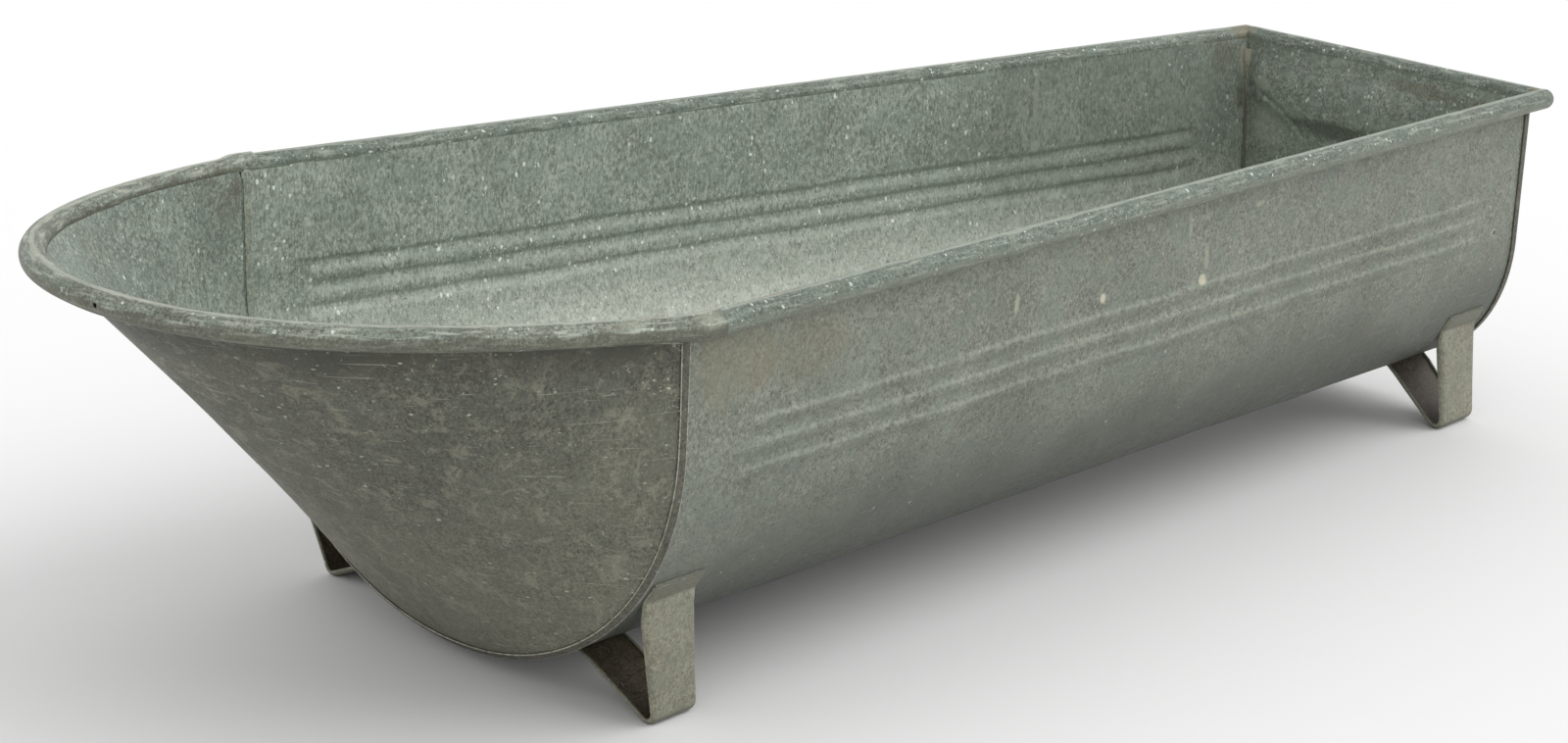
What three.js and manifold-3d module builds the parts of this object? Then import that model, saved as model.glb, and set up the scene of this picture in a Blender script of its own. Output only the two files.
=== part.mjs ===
// Galvanised steel livestock water trough.
//
// A tapering U-shaped body sheet is closed by a sloping, rounded scoop at one end and by an
// upright panel at the other, square end. Every sheet edge carries a hollow rolled rim, the
// sheets meet in folded and soldered seams, and four bent steel straps are the feet.
//
// Frame: millimetres, +Z up, +X towards the square end, +Y to the left. The origin is on the
// ground under the middle of the overall length and width.

import * as THREE from 'three';
import { mergeVertices } from 'three/addons/utils/BufferGeometryUtils.js';
import Module from 'manifold-3d';

const wasm = await Module();
wasm.setup();

// ---- driving dimensions, millimetres and degrees ------------------------------------------

const BODY_LENGTH = 1441; // scoop seam to square end panel
const SCOOP_LENGTH = 402; // scoop seam to the tip of the scoop sheet
const SHEET = 1.5; // sheet thickness
const GAP = 0.4; // play between pieces that touch

// Cross-section of the body, outer surface, at the two ends of its length.
const SCOOP_SECTION = { halfWidth: 350, rimTop: 440, wallFoot: 311.6, flatHalf: 2, floor: 17.8 };
const SQUARE_SECTION = { halfWidth: 212, rimTop: 416, wallFoot: 235, flatHalf: 76.5, floor: 69.2 };
const WALL_LEAN = 1.5; // degrees that the side walls close in towards the floor
const WALL_SHARE = 0.35; // share of the section parameter spent on the straight wall
const BEND_SHARE = 0.5; // share spent on the curve from wall to floor
const BEND_END = WALL_SHARE + BEND_SHARE;

// Rolled rim.
const ROLL_RADIUS = 12;
const ROLL_OFFSET = ROLL_RADIUS + GAP; // middle of the roll outside the wall
const ROLL_SLIT = 45; // degrees left open where the roll takes up the wall's edge
const SCOOP_RISE = 21.4; // how much higher the rim is at the tip of the scoop
const SCOOP_TURN = 26.6; // degrees that the scoop rim turns in at the seam corner
const LAP_LENGTH = 22; // scoop rim lapping over each side rim
const LAP_SWELL = 1.9; // extra radius of the lap, which slips over the side roll
const DRAIN_RADIUS = 2.5; // drain hole in the scoop rim
const DRAIN_SHARE = 0.957; // where the drain hole is between the seam corner and the tip

// Swage beads pressed outwards along both sides.
const BEAD_COUNT = 3;
const BEAD_HEIGHT = 2.2;
const BEAD_ABOVE = 6; // height of a bead's steep upper flank
const BEAD_BELOW = 16; // height of its long lower flank
const BEAD_START = 50;
const BEAD_END = BODY_LENGTH - 65;
const BEAD_FADE = 50;
const BEADS_AT_SCOOP = { top: 318, pitch: 24 };
const BEADS_AT_SQUARE = { top: 293, pitch: 22.5 };

// Punched hole near the square end, in the right wall.
const PUNCH = { fromSeam: 1395, height: 248, radius: 3.2 };

// Folded seams and solder.
const FOLD_WIDTH = 9;
const FOLD_LIFT = 0.8; // clearance of the scoop fold over the twisted scoop sheet
const SQUARE_FOLD_WIDTH = 9;
const SOLDER = 4.5;
const SOLDER_SLOPE = 0.7; // how far a bead's outer edge reaches, as a share of its foot
const SOLDER_EDGE = 1; // thickness of the inside fillet at its edge
const FLANGE_COVER = 0.6; // how high a bead covers a strap's end, as a share of the strap

// Strap feet.
const STRAP = 3;
const STRAP_BEND = 12; // middle radius of the bend on the ground
const FOOT_FACET = 15; // half angle of the flat at the bottom of the bend, degrees
const OUTER_BEND_TURNS = [-60, -35]; // corners of the bend's outer half, degrees from straight down
const EDGE_TURN = { shell: 0.2, outerLeg: 6, bend: 3 }; // how far the strap's edges turn inwards
const LEG_STATION = 0.2; // where the turned edge is full, as a share of each leg from the shell

// Each pair of feet: the strap's two edges along the trough at the flange and at the ground,
// the section parameters where it touches the shell, and how far in from the shell's widest
// line its bend is.
const FOOT_PAIRS = {
  scoop: {
    flange: { edges: [6, 75], top: 0.52, foot: 0.545 },
    tab: { edges: [39, 100], top: 0.709, end: 0.752 },
    bendInset: 94,
  },
  square: {
    flange: { edges: [1343, 1415], top: 0.525, foot: 0.567 },
    tab: { edges: [1364, 1434], top: 0.81, end: 0.845 },
    bendInset: 49,
  },
};

// The seam's place along X puts the origin under the middle of the overall length.
const SEAM_X = (SCOOP_LENGTH - BODY_LENGTH) / 2;

const radians = THREE.MathUtils.degToRad;
const lerp = THREE.MathUtils.lerp;
const SIDES = { left: 1, right: -1 };

// ---- solids -------------------------------------------------------------------------------

// Six times the signed volume: negative when the faces point inwards.
function signedVolume(positions, index) {
  const corner = [new THREE.Vector3(), new THREE.Vector3(), new THREE.Vector3()];
  let total = 0;
  for (let i = 0; i < index.length; i += 3) {
    corner.forEach((v, k) => v.fromArray(positions, 3 * index[i + k]));
    total += corner[0].dot(corner[1].clone().cross(corner[2]));
  }
  return total;
}

function solidGeometry(positions, index) {
  if (signedVolume(positions, index) < 0) {
    index.reverse();
  }
  const geometry = new THREE.BufferGeometry();
  geometry.setAttribute('position', new THREE.Float32BufferAttribute(positions, 3));
  geometry.setIndex(index);
  return geometry;
}

// A closed solid between two matching grids of points: the two faces of a sheet, strap or roll.
function thickSurface(outer, inner) {
  const rows = outer.length;
  const columns = outer[0].length;
  const positions = [];
  for (const point of [...outer.flat(), ...inner.flat()]) {
    positions.push(point.x, point.y, point.z);
  }
  const front = (i, j) => i * columns + j;
  const back = (i, j) => rows * columns + i * columns + j;
  const index = [];
  const quad = (a, b, c, d) => index.push(a, b, c, a, c, d);
  for (let i = 0; i + 1 < rows; i++) {
    for (let j = 0; j + 1 < columns; j++) {
      quad(front(i, j), front(i + 1, j), front(i + 1, j + 1), front(i, j + 1));
      quad(back(i, j), back(i, j + 1), back(i + 1, j + 1), back(i + 1, j));
    }
  }
  for (let i = 0; i + 1 < rows; i++) {
    const last = columns - 1;
    quad(front(i, 0), back(i, 0), back(i + 1, 0), front(i + 1, 0));
    quad(front(i, last), front(i + 1, last), back(i + 1, last), back(i, last));
  }
  for (let j = 0; j + 1 < columns; j++) {
    const last = rows - 1;
    quad(front(0, j), front(0, j + 1), back(0, j + 1), back(0, j));
    quad(front(last, j), back(last, j), back(last, j + 1), front(last, j + 1));
  }
  return solidGeometry(positions, index);
}

function toManifold(geometry) {
  const bare = geometry.clone();
  bare.deleteAttribute('normal');
  bare.deleteAttribute('uv');
  const merged = mergeVertices(bare, 1e-4);
  return new wasm.Manifold(new wasm.Mesh({
    numProp: 3,
    vertProperties: new Float32Array(merged.attributes.position.array),
    triVerts: new Uint32Array(merged.index.array),
  }));
}

// Drills a round hole of the given radius through a geometry, along a direction.
function drilled(geometry, centre, direction, radius, length) {
  const drill = new THREE.CylinderGeometry(radius, radius, length, 12);
  const turn = new THREE.Quaternion().setFromUnitVectors(new THREE.Vector3(0, 1, 0), direction);
  drill.applyQuaternion(turn);
  drill.translate(centre.x, centre.y, centre.z);
  const mesh = toManifold(geometry).subtract(toManifold(drill)).getMesh();
  return solidGeometry(Array.from(mesh.vertProperties), Array.from(mesh.triVerts));
}

// ---- shape of the shell -------------------------------------------------------------------

const rollHeight = (section) => section.rimTop - ROLL_RADIUS;

// Outer half section at one end: t runs from 0 at the rim to 1 at the middle of the floor.
function endSection(section, t) {
  const top = rollHeight(section);
  const lean = Math.tan(radians(WALL_LEAN));
  const footHalfWidth = section.halfWidth - (top - section.wallFoot) * lean;
  if (t < WALL_SHARE) {
    const z = lerp(top, section.wallFoot, t / WALL_SHARE);
    return { y: section.halfWidth - (top - z) * lean, z };
  }
  const turn = (Math.min(1, (t - WALL_SHARE) / BEND_SHARE) * Math.PI) / 2;
  const flat = Math.max(0, (t - BEND_END) / (1 - BEND_END));
  return {
    y: lerp(section.flatHalf, footHalfWidth, Math.cos(turn)) - section.flatHalf * flat,
    z: lerp(section.wallFoot, section.floor, Math.sin(turn)),
  };
}

// Outer half section at a distance from the seam: straight lines join the two end sections.
function bodySection(fromSeam, t) {
  const share = fromSeam / BODY_LENGTH;
  const a = endSection(SCOOP_SECTION, t);
  const b = endSection(SQUARE_SECTION, t);
  return { y: lerp(a.y, b.y, share), z: lerp(a.z, b.z, share) };
}

// Point, direction down the section and outward normal, all in the cross-section plane.
function bodyFrame(fromSeam, t) {
  const step = 1e-3;
  const point = bodySection(fromSeam, t);
  const before = bodySection(fromSeam, Math.max(0, t - step));
  const after = bodySection(fromSeam, Math.min(1, t + step));
  const along = new THREE.Vector2(after.y - before.y, after.z - before.z).normalize();
  return { point, along, normal: new THREE.Vector2(-along.y, along.x) };
}

// A point on the body, moved out along its normal and down along the section.
function bodyPoint(fromSeam, t, side, out = 0, along = 0) {
  const frame = bodyFrame(fromSeam, t);
  const y = frame.point.y + out * frame.normal.x + along * frame.along.x;
  const z = frame.point.z + out * frame.normal.y + along * frame.along.y;
  return new THREE.Vector3(SEAM_X + fromSeam, side * y, z);
}

// The section parameter where the body has a given height.
function parameterAtHeight(fromSeam, height) {
  let low = 0;
  let high = BEND_END;
  for (let i = 0; i < 40; i++) {
    const middle = (low + high) / 2;
    if (bodySection(fromSeam, middle).z > height) {
      low = middle;
    } else {
      high = middle;
    }
  }
  return low;
}

// Values of t with a sign for the side, from the left rim under the floor to the right rim.
function acrossBothSides(half) {
  const left = half.map((t) => ({ t, side: SIDES.left }));
  const right = half.slice(0, -1).map((t) => ({ t, side: SIDES.right }));
  return [...left, ...right.reverse()];
}

function evenly(from, to, count) {
  return Array.from({ length: count + 1 }, (_, i) => lerp(from, to, i / count));
}

// Stations that every sheet and seam shares, so that their facets lie on each other.
const EDGE = 0.003; // the sheets' top edge, in the slit of the roll
const AFTER_BEADS = 0.42; // below the lowest bead
const LOWER_STATIONS = [...evenly(AFTER_BEADS, BEND_END, 18), 1];
const SEAM_STATIONS = [
  0.03,
  0.12,
  0.24,
  ...evenly(WALL_SHARE, AFTER_BEADS, 4).slice(0, -1),
  ...LOWER_STATIONS,
];

// ---- body sheet ---------------------------------------------------------------------------

const beadHeight = (bead, fromSeam) => lerp(
  BEADS_AT_SCOOP.top - bead * BEADS_AT_SCOOP.pitch,
  BEADS_AT_SQUARE.top - bead * BEADS_AT_SQUARE.pitch,
  fromSeam / BODY_LENGTH,
);

function beadRelief(fromSeam, height) {
  const run = Math.min(fromSeam - BEAD_START, BEAD_END - fromSeam) / BEAD_FADE;
  const fade = THREE.MathUtils.smoothstep(run, 0, 1);
  let relief = 0;
  for (let bead = 0; bead < BEAD_COUNT; bead++) {
    const rise = height - beadHeight(bead, fromSeam);
    const away = rise > 0 ? rise / BEAD_ABOVE : -rise / BEAD_BELOW;
    relief += away < 1 ? 0.5 * BEAD_HEIGHT * (1 + Math.cos(Math.PI * away)) : 0;
  }
  return fade * relief;
}

function bodyStations(fromSeam) {
  const beads = [];
  for (let bead = 0; bead < BEAD_COUNT; bead++) {
    const upper = [1, 0.5, 0].map((share) => share * BEAD_ABOVE);
    const lower = [0.3, 0.6, 1].map((share) => -share * BEAD_BELOW);
    for (const rise of [...upper, ...lower]) {
      beads.push(parameterAtHeight(fromSeam, beadHeight(bead, fromSeam) + rise));
    }
  }
  const between = evenly(beads[beads.length - 1], AFTER_BEADS, 3).slice(1, -1);
  return [EDGE, (EDGE + beads[0]) / 2, ...beads, ...between, ...LOWER_STATIONS];
}

function bodySheet() {
  const fadeSteps = [0, 0.25, 0.5, 0.75, 1].map((share) => share * BEAD_FADE);
  const lengths = [
    GAP / 2,
    ...fadeSteps.map((step) => BEAD_START + step),
    BODY_LENGTH / 2,
    ...fadeSteps.map((step) => BEAD_END - BEAD_FADE + step),
    BODY_LENGTH,
  ];
  const face = (inset) => lengths.map((fromSeam) => (
    acrossBothSides(bodyStations(fromSeam)).map(({ t, side }) => {
      const relief = beadRelief(fromSeam, bodySection(fromSeam, t).z);
      return bodyPoint(fromSeam, t, side, relief - inset);
    })
  ));
  const sheet = thickSurface(face(0), face(SHEET));
  const t = parameterAtHeight(PUNCH.fromSeam, PUNCH.height);
  const centre = bodyPoint(PUNCH.fromSeam, t, SIDES.right);
  return drilled(sheet, centre, new THREE.Vector3(0, 1, 0), PUNCH.radius, 8 * SHEET);
}

// ---- scoop --------------------------------------------------------------------------------

// Plan of the scoop rim on the outer face of its sheet, grown outwards by a margin.
function scoopPlan(margin) {
  const width = SCOOP_SECTION.halfWidth + margin;
  const length = SCOOP_LENGTH + margin;
  const turn = radians(SCOOP_TURN);
  const lead = 0.1 * length;
  return new THREE.CubicBezierCurve(
    new THREE.Vector2(0, width),
    new THREE.Vector2(-lead * Math.cos(turn), width - lead * Math.sin(turn)),
    new THREE.Vector2(-length, 0.8 * width),
    new THREE.Vector2(-length, 0),
  );
}

// A point of the scoop rim, from the seam corner at t = 0 to the tip at t = 1.
function scoopRim(t, side, margin = 0) {
  const plan = scoopPlan(margin).getPoint(t);
  const rise = (SCOOP_RISE * -plan.x) / (SCOOP_LENGTH + margin);
  return new THREE.Vector3(SEAM_X + plan.x, side * plan.y, rollHeight(SCOOP_SECTION) + rise);
}

// The scoop is ruled: a straight line joins each point of the seam to one of the rim.
function scoopPoint(t, side, share, inset) {
  const foot = bodyPoint(0, t, side, -inset);
  foot.x -= GAP / 2;
  return foot.lerp(scoopRim(t, side, -inset), share);
}

function scoopSheet() {
  const underRoll = 1; // the sheet stops this far below the middle of the roll
  const tip = evenly(BEND_END, 1, 4).slice(1, -1);
  const half = [...SEAM_STATIONS.slice(0, -1), ...tip, 1];
  const top = (t) => 1 - underRoll / (scoopRim(t, 1).z - bodySection(0, t).z);
  const face = (inset) => evenly(0, 1, 7).map((share) => (
    acrossBothSides(half).map(({ t, side }) => scoopPoint(t, side, share * top(t), inset))
  ));
  return thickSurface(face(0), face(SHEET));
}

// ---- square end ---------------------------------------------------------------------------

function squareEndPanel() {
  const outline = acrossBothSides([EDGE, ...SEAM_STATIONS]).map(({ t, side }) => {
    const point = bodySection(BODY_LENGTH, t);
    return new THREE.Vector2(side * point.y, point.z);
  });
  const plate = new THREE.ExtrudeGeometry(new THREE.Shape(outline), {
    depth: SHEET,
    bevelEnabled: false,
  });
  const stand = new THREE.Matrix4().makeBasis(
    new THREE.Vector3(0, 1, 0),
    new THREE.Vector3(0, 0, 1),
    new THREE.Vector3(1, 0, 0),
  );
  plate.applyMatrix4(stand);
  plate.translate(SEAM_X + BODY_LENGTH + GAP, 0, 0);
  return plate;
}

// ---- rolled rims --------------------------------------------------------------------------

// A rolled rim is a hollow C in the plane of "out" and up. It starts level with its middle,
// over the wall, and curls outwards until its free edge is back under the start.
function rollRing(centre, out, radius) {
  return evenly(-180 + ROLL_SLIT, 180, 18).map((angle) => {
    const turn = radians(angle);
    const reach = out.clone().multiplyScalar(radius * Math.cos(turn));
    return centre.clone().add(reach).setZ(centre.z + radius * Math.sin(turn));
  });
}

function roll(stations) {
  const face = (inset) => stations.map(({ centre, out, radius }) => (
    rollRing(centre, out, radius - inset)
  ));
  return thickSurface(face(0), face(SHEET));
}

// Corners of the side rim's centre line.
function sideRimCorner(fromSeam, side) {
  const section = fromSeam > 0 ? SQUARE_SECTION : SCOOP_SECTION;
  const y = side * (section.halfWidth + ROLL_OFFSET);
  return new THREE.Vector3(SEAM_X + fromSeam, y, rollHeight(section));
}

const SIDE_RIM_LENGTH = BODY_LENGTH + ROLL_OFFSET;

function sideRimLine(side) {
  return new THREE.LineCurve3(sideRimCorner(0, side), sideRimCorner(SIDE_RIM_LENGTH, side));
}

// Horizontal direction square to a path and away from the trough.
function outwards(tangent, side) {
  return new THREE.Vector3(tangent.y, -tangent.x, 0).multiplyScalar(-side).normalize();
}

function sideRimRoll(side) {
  const line = sideRimLine(side);
  const out = outwards(line.getTangent(0), side);
  const underLap = (LAP_LENGTH / 2) / SIDE_RIM_LENGTH;
  return roll([underLap, 0.5, 1].map((share) => (
    { centre: line.getPoint(share), out, radius: ROLL_RADIUS }
  )));
}

// The end of each side roll is beaten into a dome that covers the square end's corner.
function rimEndCap(side) {
  const line = sideRimLine(side);
  const dome = evenly(0, 90, 6).map((angle) => (
    new THREE.Vector2(ROLL_RADIUS * Math.cos(radians(angle)), ROLL_RADIUS * Math.sin(radians(angle)))
  ));
  dome[dome.length - 1].x = 0;
  const cap = new THREE.LatheGeometry([new THREE.Vector2(0, 0), ...dome], 18);
  const turn = new THREE.Quaternion().setFromUnitVectors(
    new THREE.Vector3(0, 1, 0),
    line.getTangent(1),
  );
  cap.applyQuaternion(turn);
  const place = line.getPoint(1).addScaledVector(line.getTangent(1), GAP);
  cap.translate(place.x, place.y, place.z);
  return cap;
}

// Half of the scoop rim's stations, from the end of its lap to the tip.
function scoopRimStations(side) {
  const line = sideRimLine(side);
  const sideOut = outwards(line.getTangent(0), side);
  const lap = [LAP_LENGTH, LAP_LENGTH / 2, 0].map((length) => ({
    centre: line.getPoint(length / SIDE_RIM_LENGTH),
    out: sideOut,
    radius: ROLL_RADIUS + LAP_SWELL,
  }));
  const shares = [0.05, 0.1, ...evenly(0.16, 1, 17)];
  const curve = shares.map((t) => {
    const step = 1e-3;
    const before = scoopRim(t - step, side, ROLL_OFFSET);
    const after = scoopRim(Math.min(1, t + step), side, ROLL_OFFSET);
    const out = outwards(before.sub(after), side);
    return { centre: scoopRim(t, side, ROLL_OFFSET), out, radius: ROLL_RADIUS };
  });
  curve[curve.length - 1].out = new THREE.Vector3(-1, 0, 0);
  lap[lap.length - 1].out = sideOut.clone().add(curve[0].out).normalize();
  return [...lap, ...curve];
}

function scoopRimRoll() {
  const left = scoopRimStations(SIDES.left);
  const right = scoopRimStations(SIDES.right).slice(0, -1).reverse();
  const rim = roll([...left, ...right]);
  const step = 1e-3;
  const centre = scoopRim(DRAIN_SHARE, SIDES.right, ROLL_OFFSET);
  const ahead = scoopRim(DRAIN_SHARE + step, SIDES.right, ROLL_OFFSET);
  const out = outwards(centre.clone().sub(ahead), SIDES.right);
  const wall = centre.clone().addScaledVector(out, ROLL_RADIUS);
  return drilled(rim, wall, out, DRAIN_RADIUS, ROLL_RADIUS);
}

function squareEndRimRoll() {
  const reach = SQUARE_SECTION.halfWidth - GAP;
  const out = new THREE.Vector3(1, 0, 0);
  const x = SEAM_X + SIDE_RIM_LENGTH;
  return roll([-reach, 0, reach].map((y) => (
    { centre: new THREE.Vector3(x, y, rollHeight(SQUARE_SECTION)), out, radius: ROLL_RADIUS }
  )));
}

// ---- seams and solder ---------------------------------------------------------------------

// A band that runs down one side, under the floor and up the other. Each corner of its
// cross-section is a function of the station, with the band's outer face given first.
function seamBand(outerCorners, innerCorners) {
  const across = acrossBothSides(SEAM_STATIONS);
  const face = (corners) => across.map(({ t, side }) => corners.map((corner) => corner(t, side)));
  return thickSurface(face(outerCorners), face(innerCorners));
}

// A corner of a band on the body: distance from the seam and height off the outer surface.
const onBody = (fromSeam, out) => (t, side) => bodyPoint(fromSeam, t, side, out);

// A corner of a band on the scoop: distance from the seam, measured square to it in the
// scoop's surface, and height off that surface.
function onScoop(fromSeam, out) {
  return (t, side) => {
    const foot = bodyPoint(0, t, side);
    const frame = bodyFrame(0, t);
    const down = new THREE.Vector3(0, side * frame.along.x, frame.along.y);
    const ruling = scoopRim(t, side).sub(foot);
    const away = ruling.addScaledVector(down, -ruling.dot(down)).normalize();
    const normal = down.clone().cross(away).multiplyScalar(side).normalize();
    return foot.addScaledVector(away, fromSeam).addScaledVector(normal, out);
  };
}

function scoopSeamFold() {
  const low = FOLD_LIFT;
  const high = FOLD_LIFT + SHEET;
  return seamBand(
    [onScoop(FOLD_WIDTH, high), onScoop(GAP, high)],
    [onScoop(FOLD_WIDTH, low), onScoop(GAP, low)],
  );
}

function scoopSeamInnerLap() {
  const low = -SHEET - GAP;
  const high = low - SHEET;
  return seamBand(
    [onBody(GAP + 1, low), onBody(FOLD_WIDTH, low)],
    [onBody(GAP + 1, high), onBody(FOLD_WIDTH, high)],
  );
}

function squareEndSeamFold() {
  const first = BODY_LENGTH - SQUARE_FOLD_WIDTH / 2;
  const last = BODY_LENGTH + SQUARE_FOLD_WIDTH / 2;
  const low = GAP;
  const high = GAP + SHEET;
  return seamBand([onBody(first, high), onBody(last, high)], [onBody(first, low), onBody(last, low)]);
}

function squareEndSolderFillet() {
  const base = -SHEET - GAP;
  const near = BODY_LENGTH - GAP / 2;
  return seamBand(
    [onBody(near - SOLDER, base), onBody(near, base)],
    [onBody(near - SOLDER * SOLDER_SLOPE, base - SOLDER_EDGE), onBody(near, base - SOLDER)],
  );
}

// ---- strap feet ---------------------------------------------------------------------------

// One long edge of a strap, first (0) or last (1) along the trough, moved in from it by an
// inset. Its middle line in the cross-section plane runs down the shell, down the outer leg,
// round the bend on the ground, up the return leg and along the underside. Each of its points
// has its place along the trough and the depth that the strap's edges turn in there.
function strapLine({ flange, tab, bendInset }, edge, inset) {
  const [flangePlace, tabPlace] = [flange, tab].map(({ edges }) => (
    edge === 0 ? edges[0] + inset : edges[1] - inset
  ));
  const off = GAP + STRAP / 2;
  const onShell = (fromSeam) => (t) => {
    const point = bodyPoint(fromSeam, t, 1, off);
    return new THREE.Vector2(point.y, point.z);
  };
  const shellPart = evenly(flange.top, flange.foot, 2).map(onShell(flangePlace));
  const tabPart = evenly(tab.top, tab.end, 2).map(onShell(tabPlace));
  const middle = new THREE.Vector2(
    bodySection(tabPlace, 0).y - bendInset,
    STRAP_BEND * Math.cos(radians(FOOT_FACET)) + STRAP / 2,
  );
  const tangentAngle = (point) => {
    const reach = point.clone().sub(middle);
    const slope = Math.atan2(reach.y, Math.abs(reach.x));
    return THREE.MathUtils.radToDeg(slope + Math.asin(STRAP_BEND / reach.length()));
  };
  const bendTop = shellPart[shellPart.length - 1];
  const first = -tangentAngle(bendTop);
  const last = tangentAngle(tabPart[0]);
  const angles = [first, ...OUTER_BEND_TURNS, -FOOT_FACET, FOOT_FACET, last];
  const bend = angles.map((angle) => new THREE.Vector2(
    middle.x - STRAP_BEND * Math.sin(radians(angle)),
    middle.y - STRAP_BEND * Math.cos(radians(angle)),
  ));
  const legTop = bendTop.clone().lerp(bend[0], LEG_STATION);
  const legTopPlace = lerp(flangePlace, tabPlace, LEG_STATION);
  const returnTop = tabPart[0].clone().lerp(bend[bend.length - 1], LEG_STATION);
  const turned = (points, fromSeam, depth) => points.map((point) => ({ point, fromSeam, depth }));
  return [
    ...turned(shellPart, flangePlace, EDGE_TURN.shell),
    ...turned([legTop], legTopPlace, EDGE_TURN.outerLeg),
    ...turned([...bend, returnTop], tabPlace, EDGE_TURN.bend),
    ...turned(tabPart, tabPlace, EDGE_TURN.shell),
  ];
}

// Offsets a line to one side by a distance for each point, with mitred corners.
function offsetLine(line, distances) {
  const normals = line.slice(1).map((point, i) => {
    const along = point.clone().sub(line[i]).normalize();
    return new THREE.Vector2(-along.y, along.x);
  });
  return line.map((point, i) => {
    const before = normals[Math.max(0, i - 1)];
    const after = normals[Math.min(normals.length - 1, i)];
    const mitre = before.clone().add(after).normalize();
    return point.clone().addScaledVector(mitre, distances[i] / mitre.dot(after));
  });
}

// The strap is a shallow channel: its two long edges are turned in towards the other leg.
function strapFoot(pair, side) {
  const row = (edge, inset, distance) => {
    const line = strapLine(pair, edge, inset);
    const distances = line.map(({ depth }) => distance(depth));
    return offsetLine(line.map(({ point }) => point), distances).map((point, i) => (
      new THREE.Vector3(SEAM_X + line[i].fromSeam, side * point.x, point.y)
    ));
  };
  const face = (inset, offset) => {
    const turned = (depth) => -STRAP / 2 - depth;
    return [
      row(0, inset, turned),
      row(0, inset, () => offset),
      row(1, inset, () => offset),
      row(1, inset, turned),
    ];
  };
  return thickSurface(face(0, STRAP / 2), face(STRAP, -STRAP / 2));
}

// A bead of solder along the free end of a strap that lies on the shell at parameter t.
// "away" is 1 when the bead lies down the section from the end, and -1 when it lies up it.
function strapSolder(edges, side, t, away) {
  const corner = (out, along) => (fromSeam) => (
    bodyPoint(fromSeam, t, side, out, away * along)
  );
  const face = (corners) => edges.map((fromSeam) => corners.map((place) => place(fromSeam)));
  return thickSurface(
    face([corner(STRAP, GAP), corner(STRAP * FLANGE_COVER, SOLDER * SOLDER_SLOPE)]),
    face([corner(GAP, GAP), corner(GAP, SOLDER)]),
  );
}

// ---- the object ---------------------------------------------------------------------------

const GALVANISED = { color: 0x7c837b, roughness: 0.6, metalness: 0.65 };
const DARK_GALVANISED = { color: 0x66675f, roughness: 0.65, metalness: 0.6 };
const RIM = { color: 0x878b80, roughness: 0.55, metalness: 0.65 };
const STRAP_STEEL = { color: 0x7d7f73, roughness: 0.7, metalness: 0.55 };
const SOLDER_METAL = { color: 0x9a9c94, roughness: 0.5, metalness: 0.7 };

const trough = new THREE.Group();

function add(name, geometry, look) {
  const mesh = new THREE.Mesh(geometry, new THREE.MeshStandardMaterial(look));
  mesh.name = name;
  trough.add(mesh);
}

add('body_sheet', bodySheet(), GALVANISED);
add('scoop_sheet', scoopSheet(), DARK_GALVANISED);
add('square_end_panel', squareEndPanel(), GALVANISED);
add('scoop_rim_roll', scoopRimRoll(), RIM);
add('square_end_rim_roll', squareEndRimRoll(), RIM);
add('scoop_seam_fold', scoopSeamFold(), DARK_GALVANISED);
add('scoop_seam_inner_lap', scoopSeamInnerLap(), GALVANISED);
add('square_end_seam_fold', squareEndSeamFold(), DARK_GALVANISED);
add('square_end_solder_fillet', squareEndSolderFillet(), SOLDER_METAL);

for (const [hand, side] of Object.entries(SIDES)) {
  add(`side_rim_roll_${hand}`, sideRimRoll(side), RIM);
  add(`rim_end_cap_${hand}`, rimEndCap(side), RIM);
  for (const [end, pair] of Object.entries(FOOT_PAIRS)) {
    const foot = `foot_strap_${end}_${hand}`;
    add(foot, strapFoot(pair, side), STRAP_STEEL);
    const { flange, tab } = pair;
    add(`${foot}_flange_solder`, strapSolder(flange.edges, side, flange.top, -1), SOLDER_METAL);
    add(`${foot}_tab_solder`, strapSolder(tab.edges, side, tab.end, 1), SOLDER_METAL);
  }
}

export default trough;
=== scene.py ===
"""Looks of the galvanised livestock water trough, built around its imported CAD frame.

Each CAD solid is replaced by a finer mesh of the same shape, with rounded folds, beads, dents
and worn zinc. Lengths are in millimetres until a mesh is made, which is in metres. Distances
along the trough run from the scoop seam towards the square end.
"""

import math

import bmesh
import bpy
import numpy as np
from mathutils import Matrix, Vector


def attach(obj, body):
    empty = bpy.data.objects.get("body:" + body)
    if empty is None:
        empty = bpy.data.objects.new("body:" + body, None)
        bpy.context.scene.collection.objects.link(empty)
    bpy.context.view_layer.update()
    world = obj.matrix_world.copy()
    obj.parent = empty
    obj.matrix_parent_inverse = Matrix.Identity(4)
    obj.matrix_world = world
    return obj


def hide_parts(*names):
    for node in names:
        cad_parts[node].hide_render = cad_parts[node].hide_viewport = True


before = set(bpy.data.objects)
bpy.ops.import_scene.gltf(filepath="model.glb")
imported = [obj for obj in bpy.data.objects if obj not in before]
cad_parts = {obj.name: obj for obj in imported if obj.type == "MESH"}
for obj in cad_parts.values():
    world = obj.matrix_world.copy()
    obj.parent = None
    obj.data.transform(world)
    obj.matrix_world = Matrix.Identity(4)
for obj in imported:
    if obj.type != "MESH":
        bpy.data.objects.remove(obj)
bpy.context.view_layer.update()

MM = 0.001
LEFT, RIGHT = 1, -1
SIDES = {"left": LEFT, "right": RIGHT}

# ---- dimensions of the CAD model ----------------------------------------------------------

BODY_LENGTH = 1441
SCOOP_LENGTH = 402
SEAM_X = (SCOOP_LENGTH - BODY_LENGTH) / 2
SHEET = 1.5
GAP = 0.4

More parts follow.
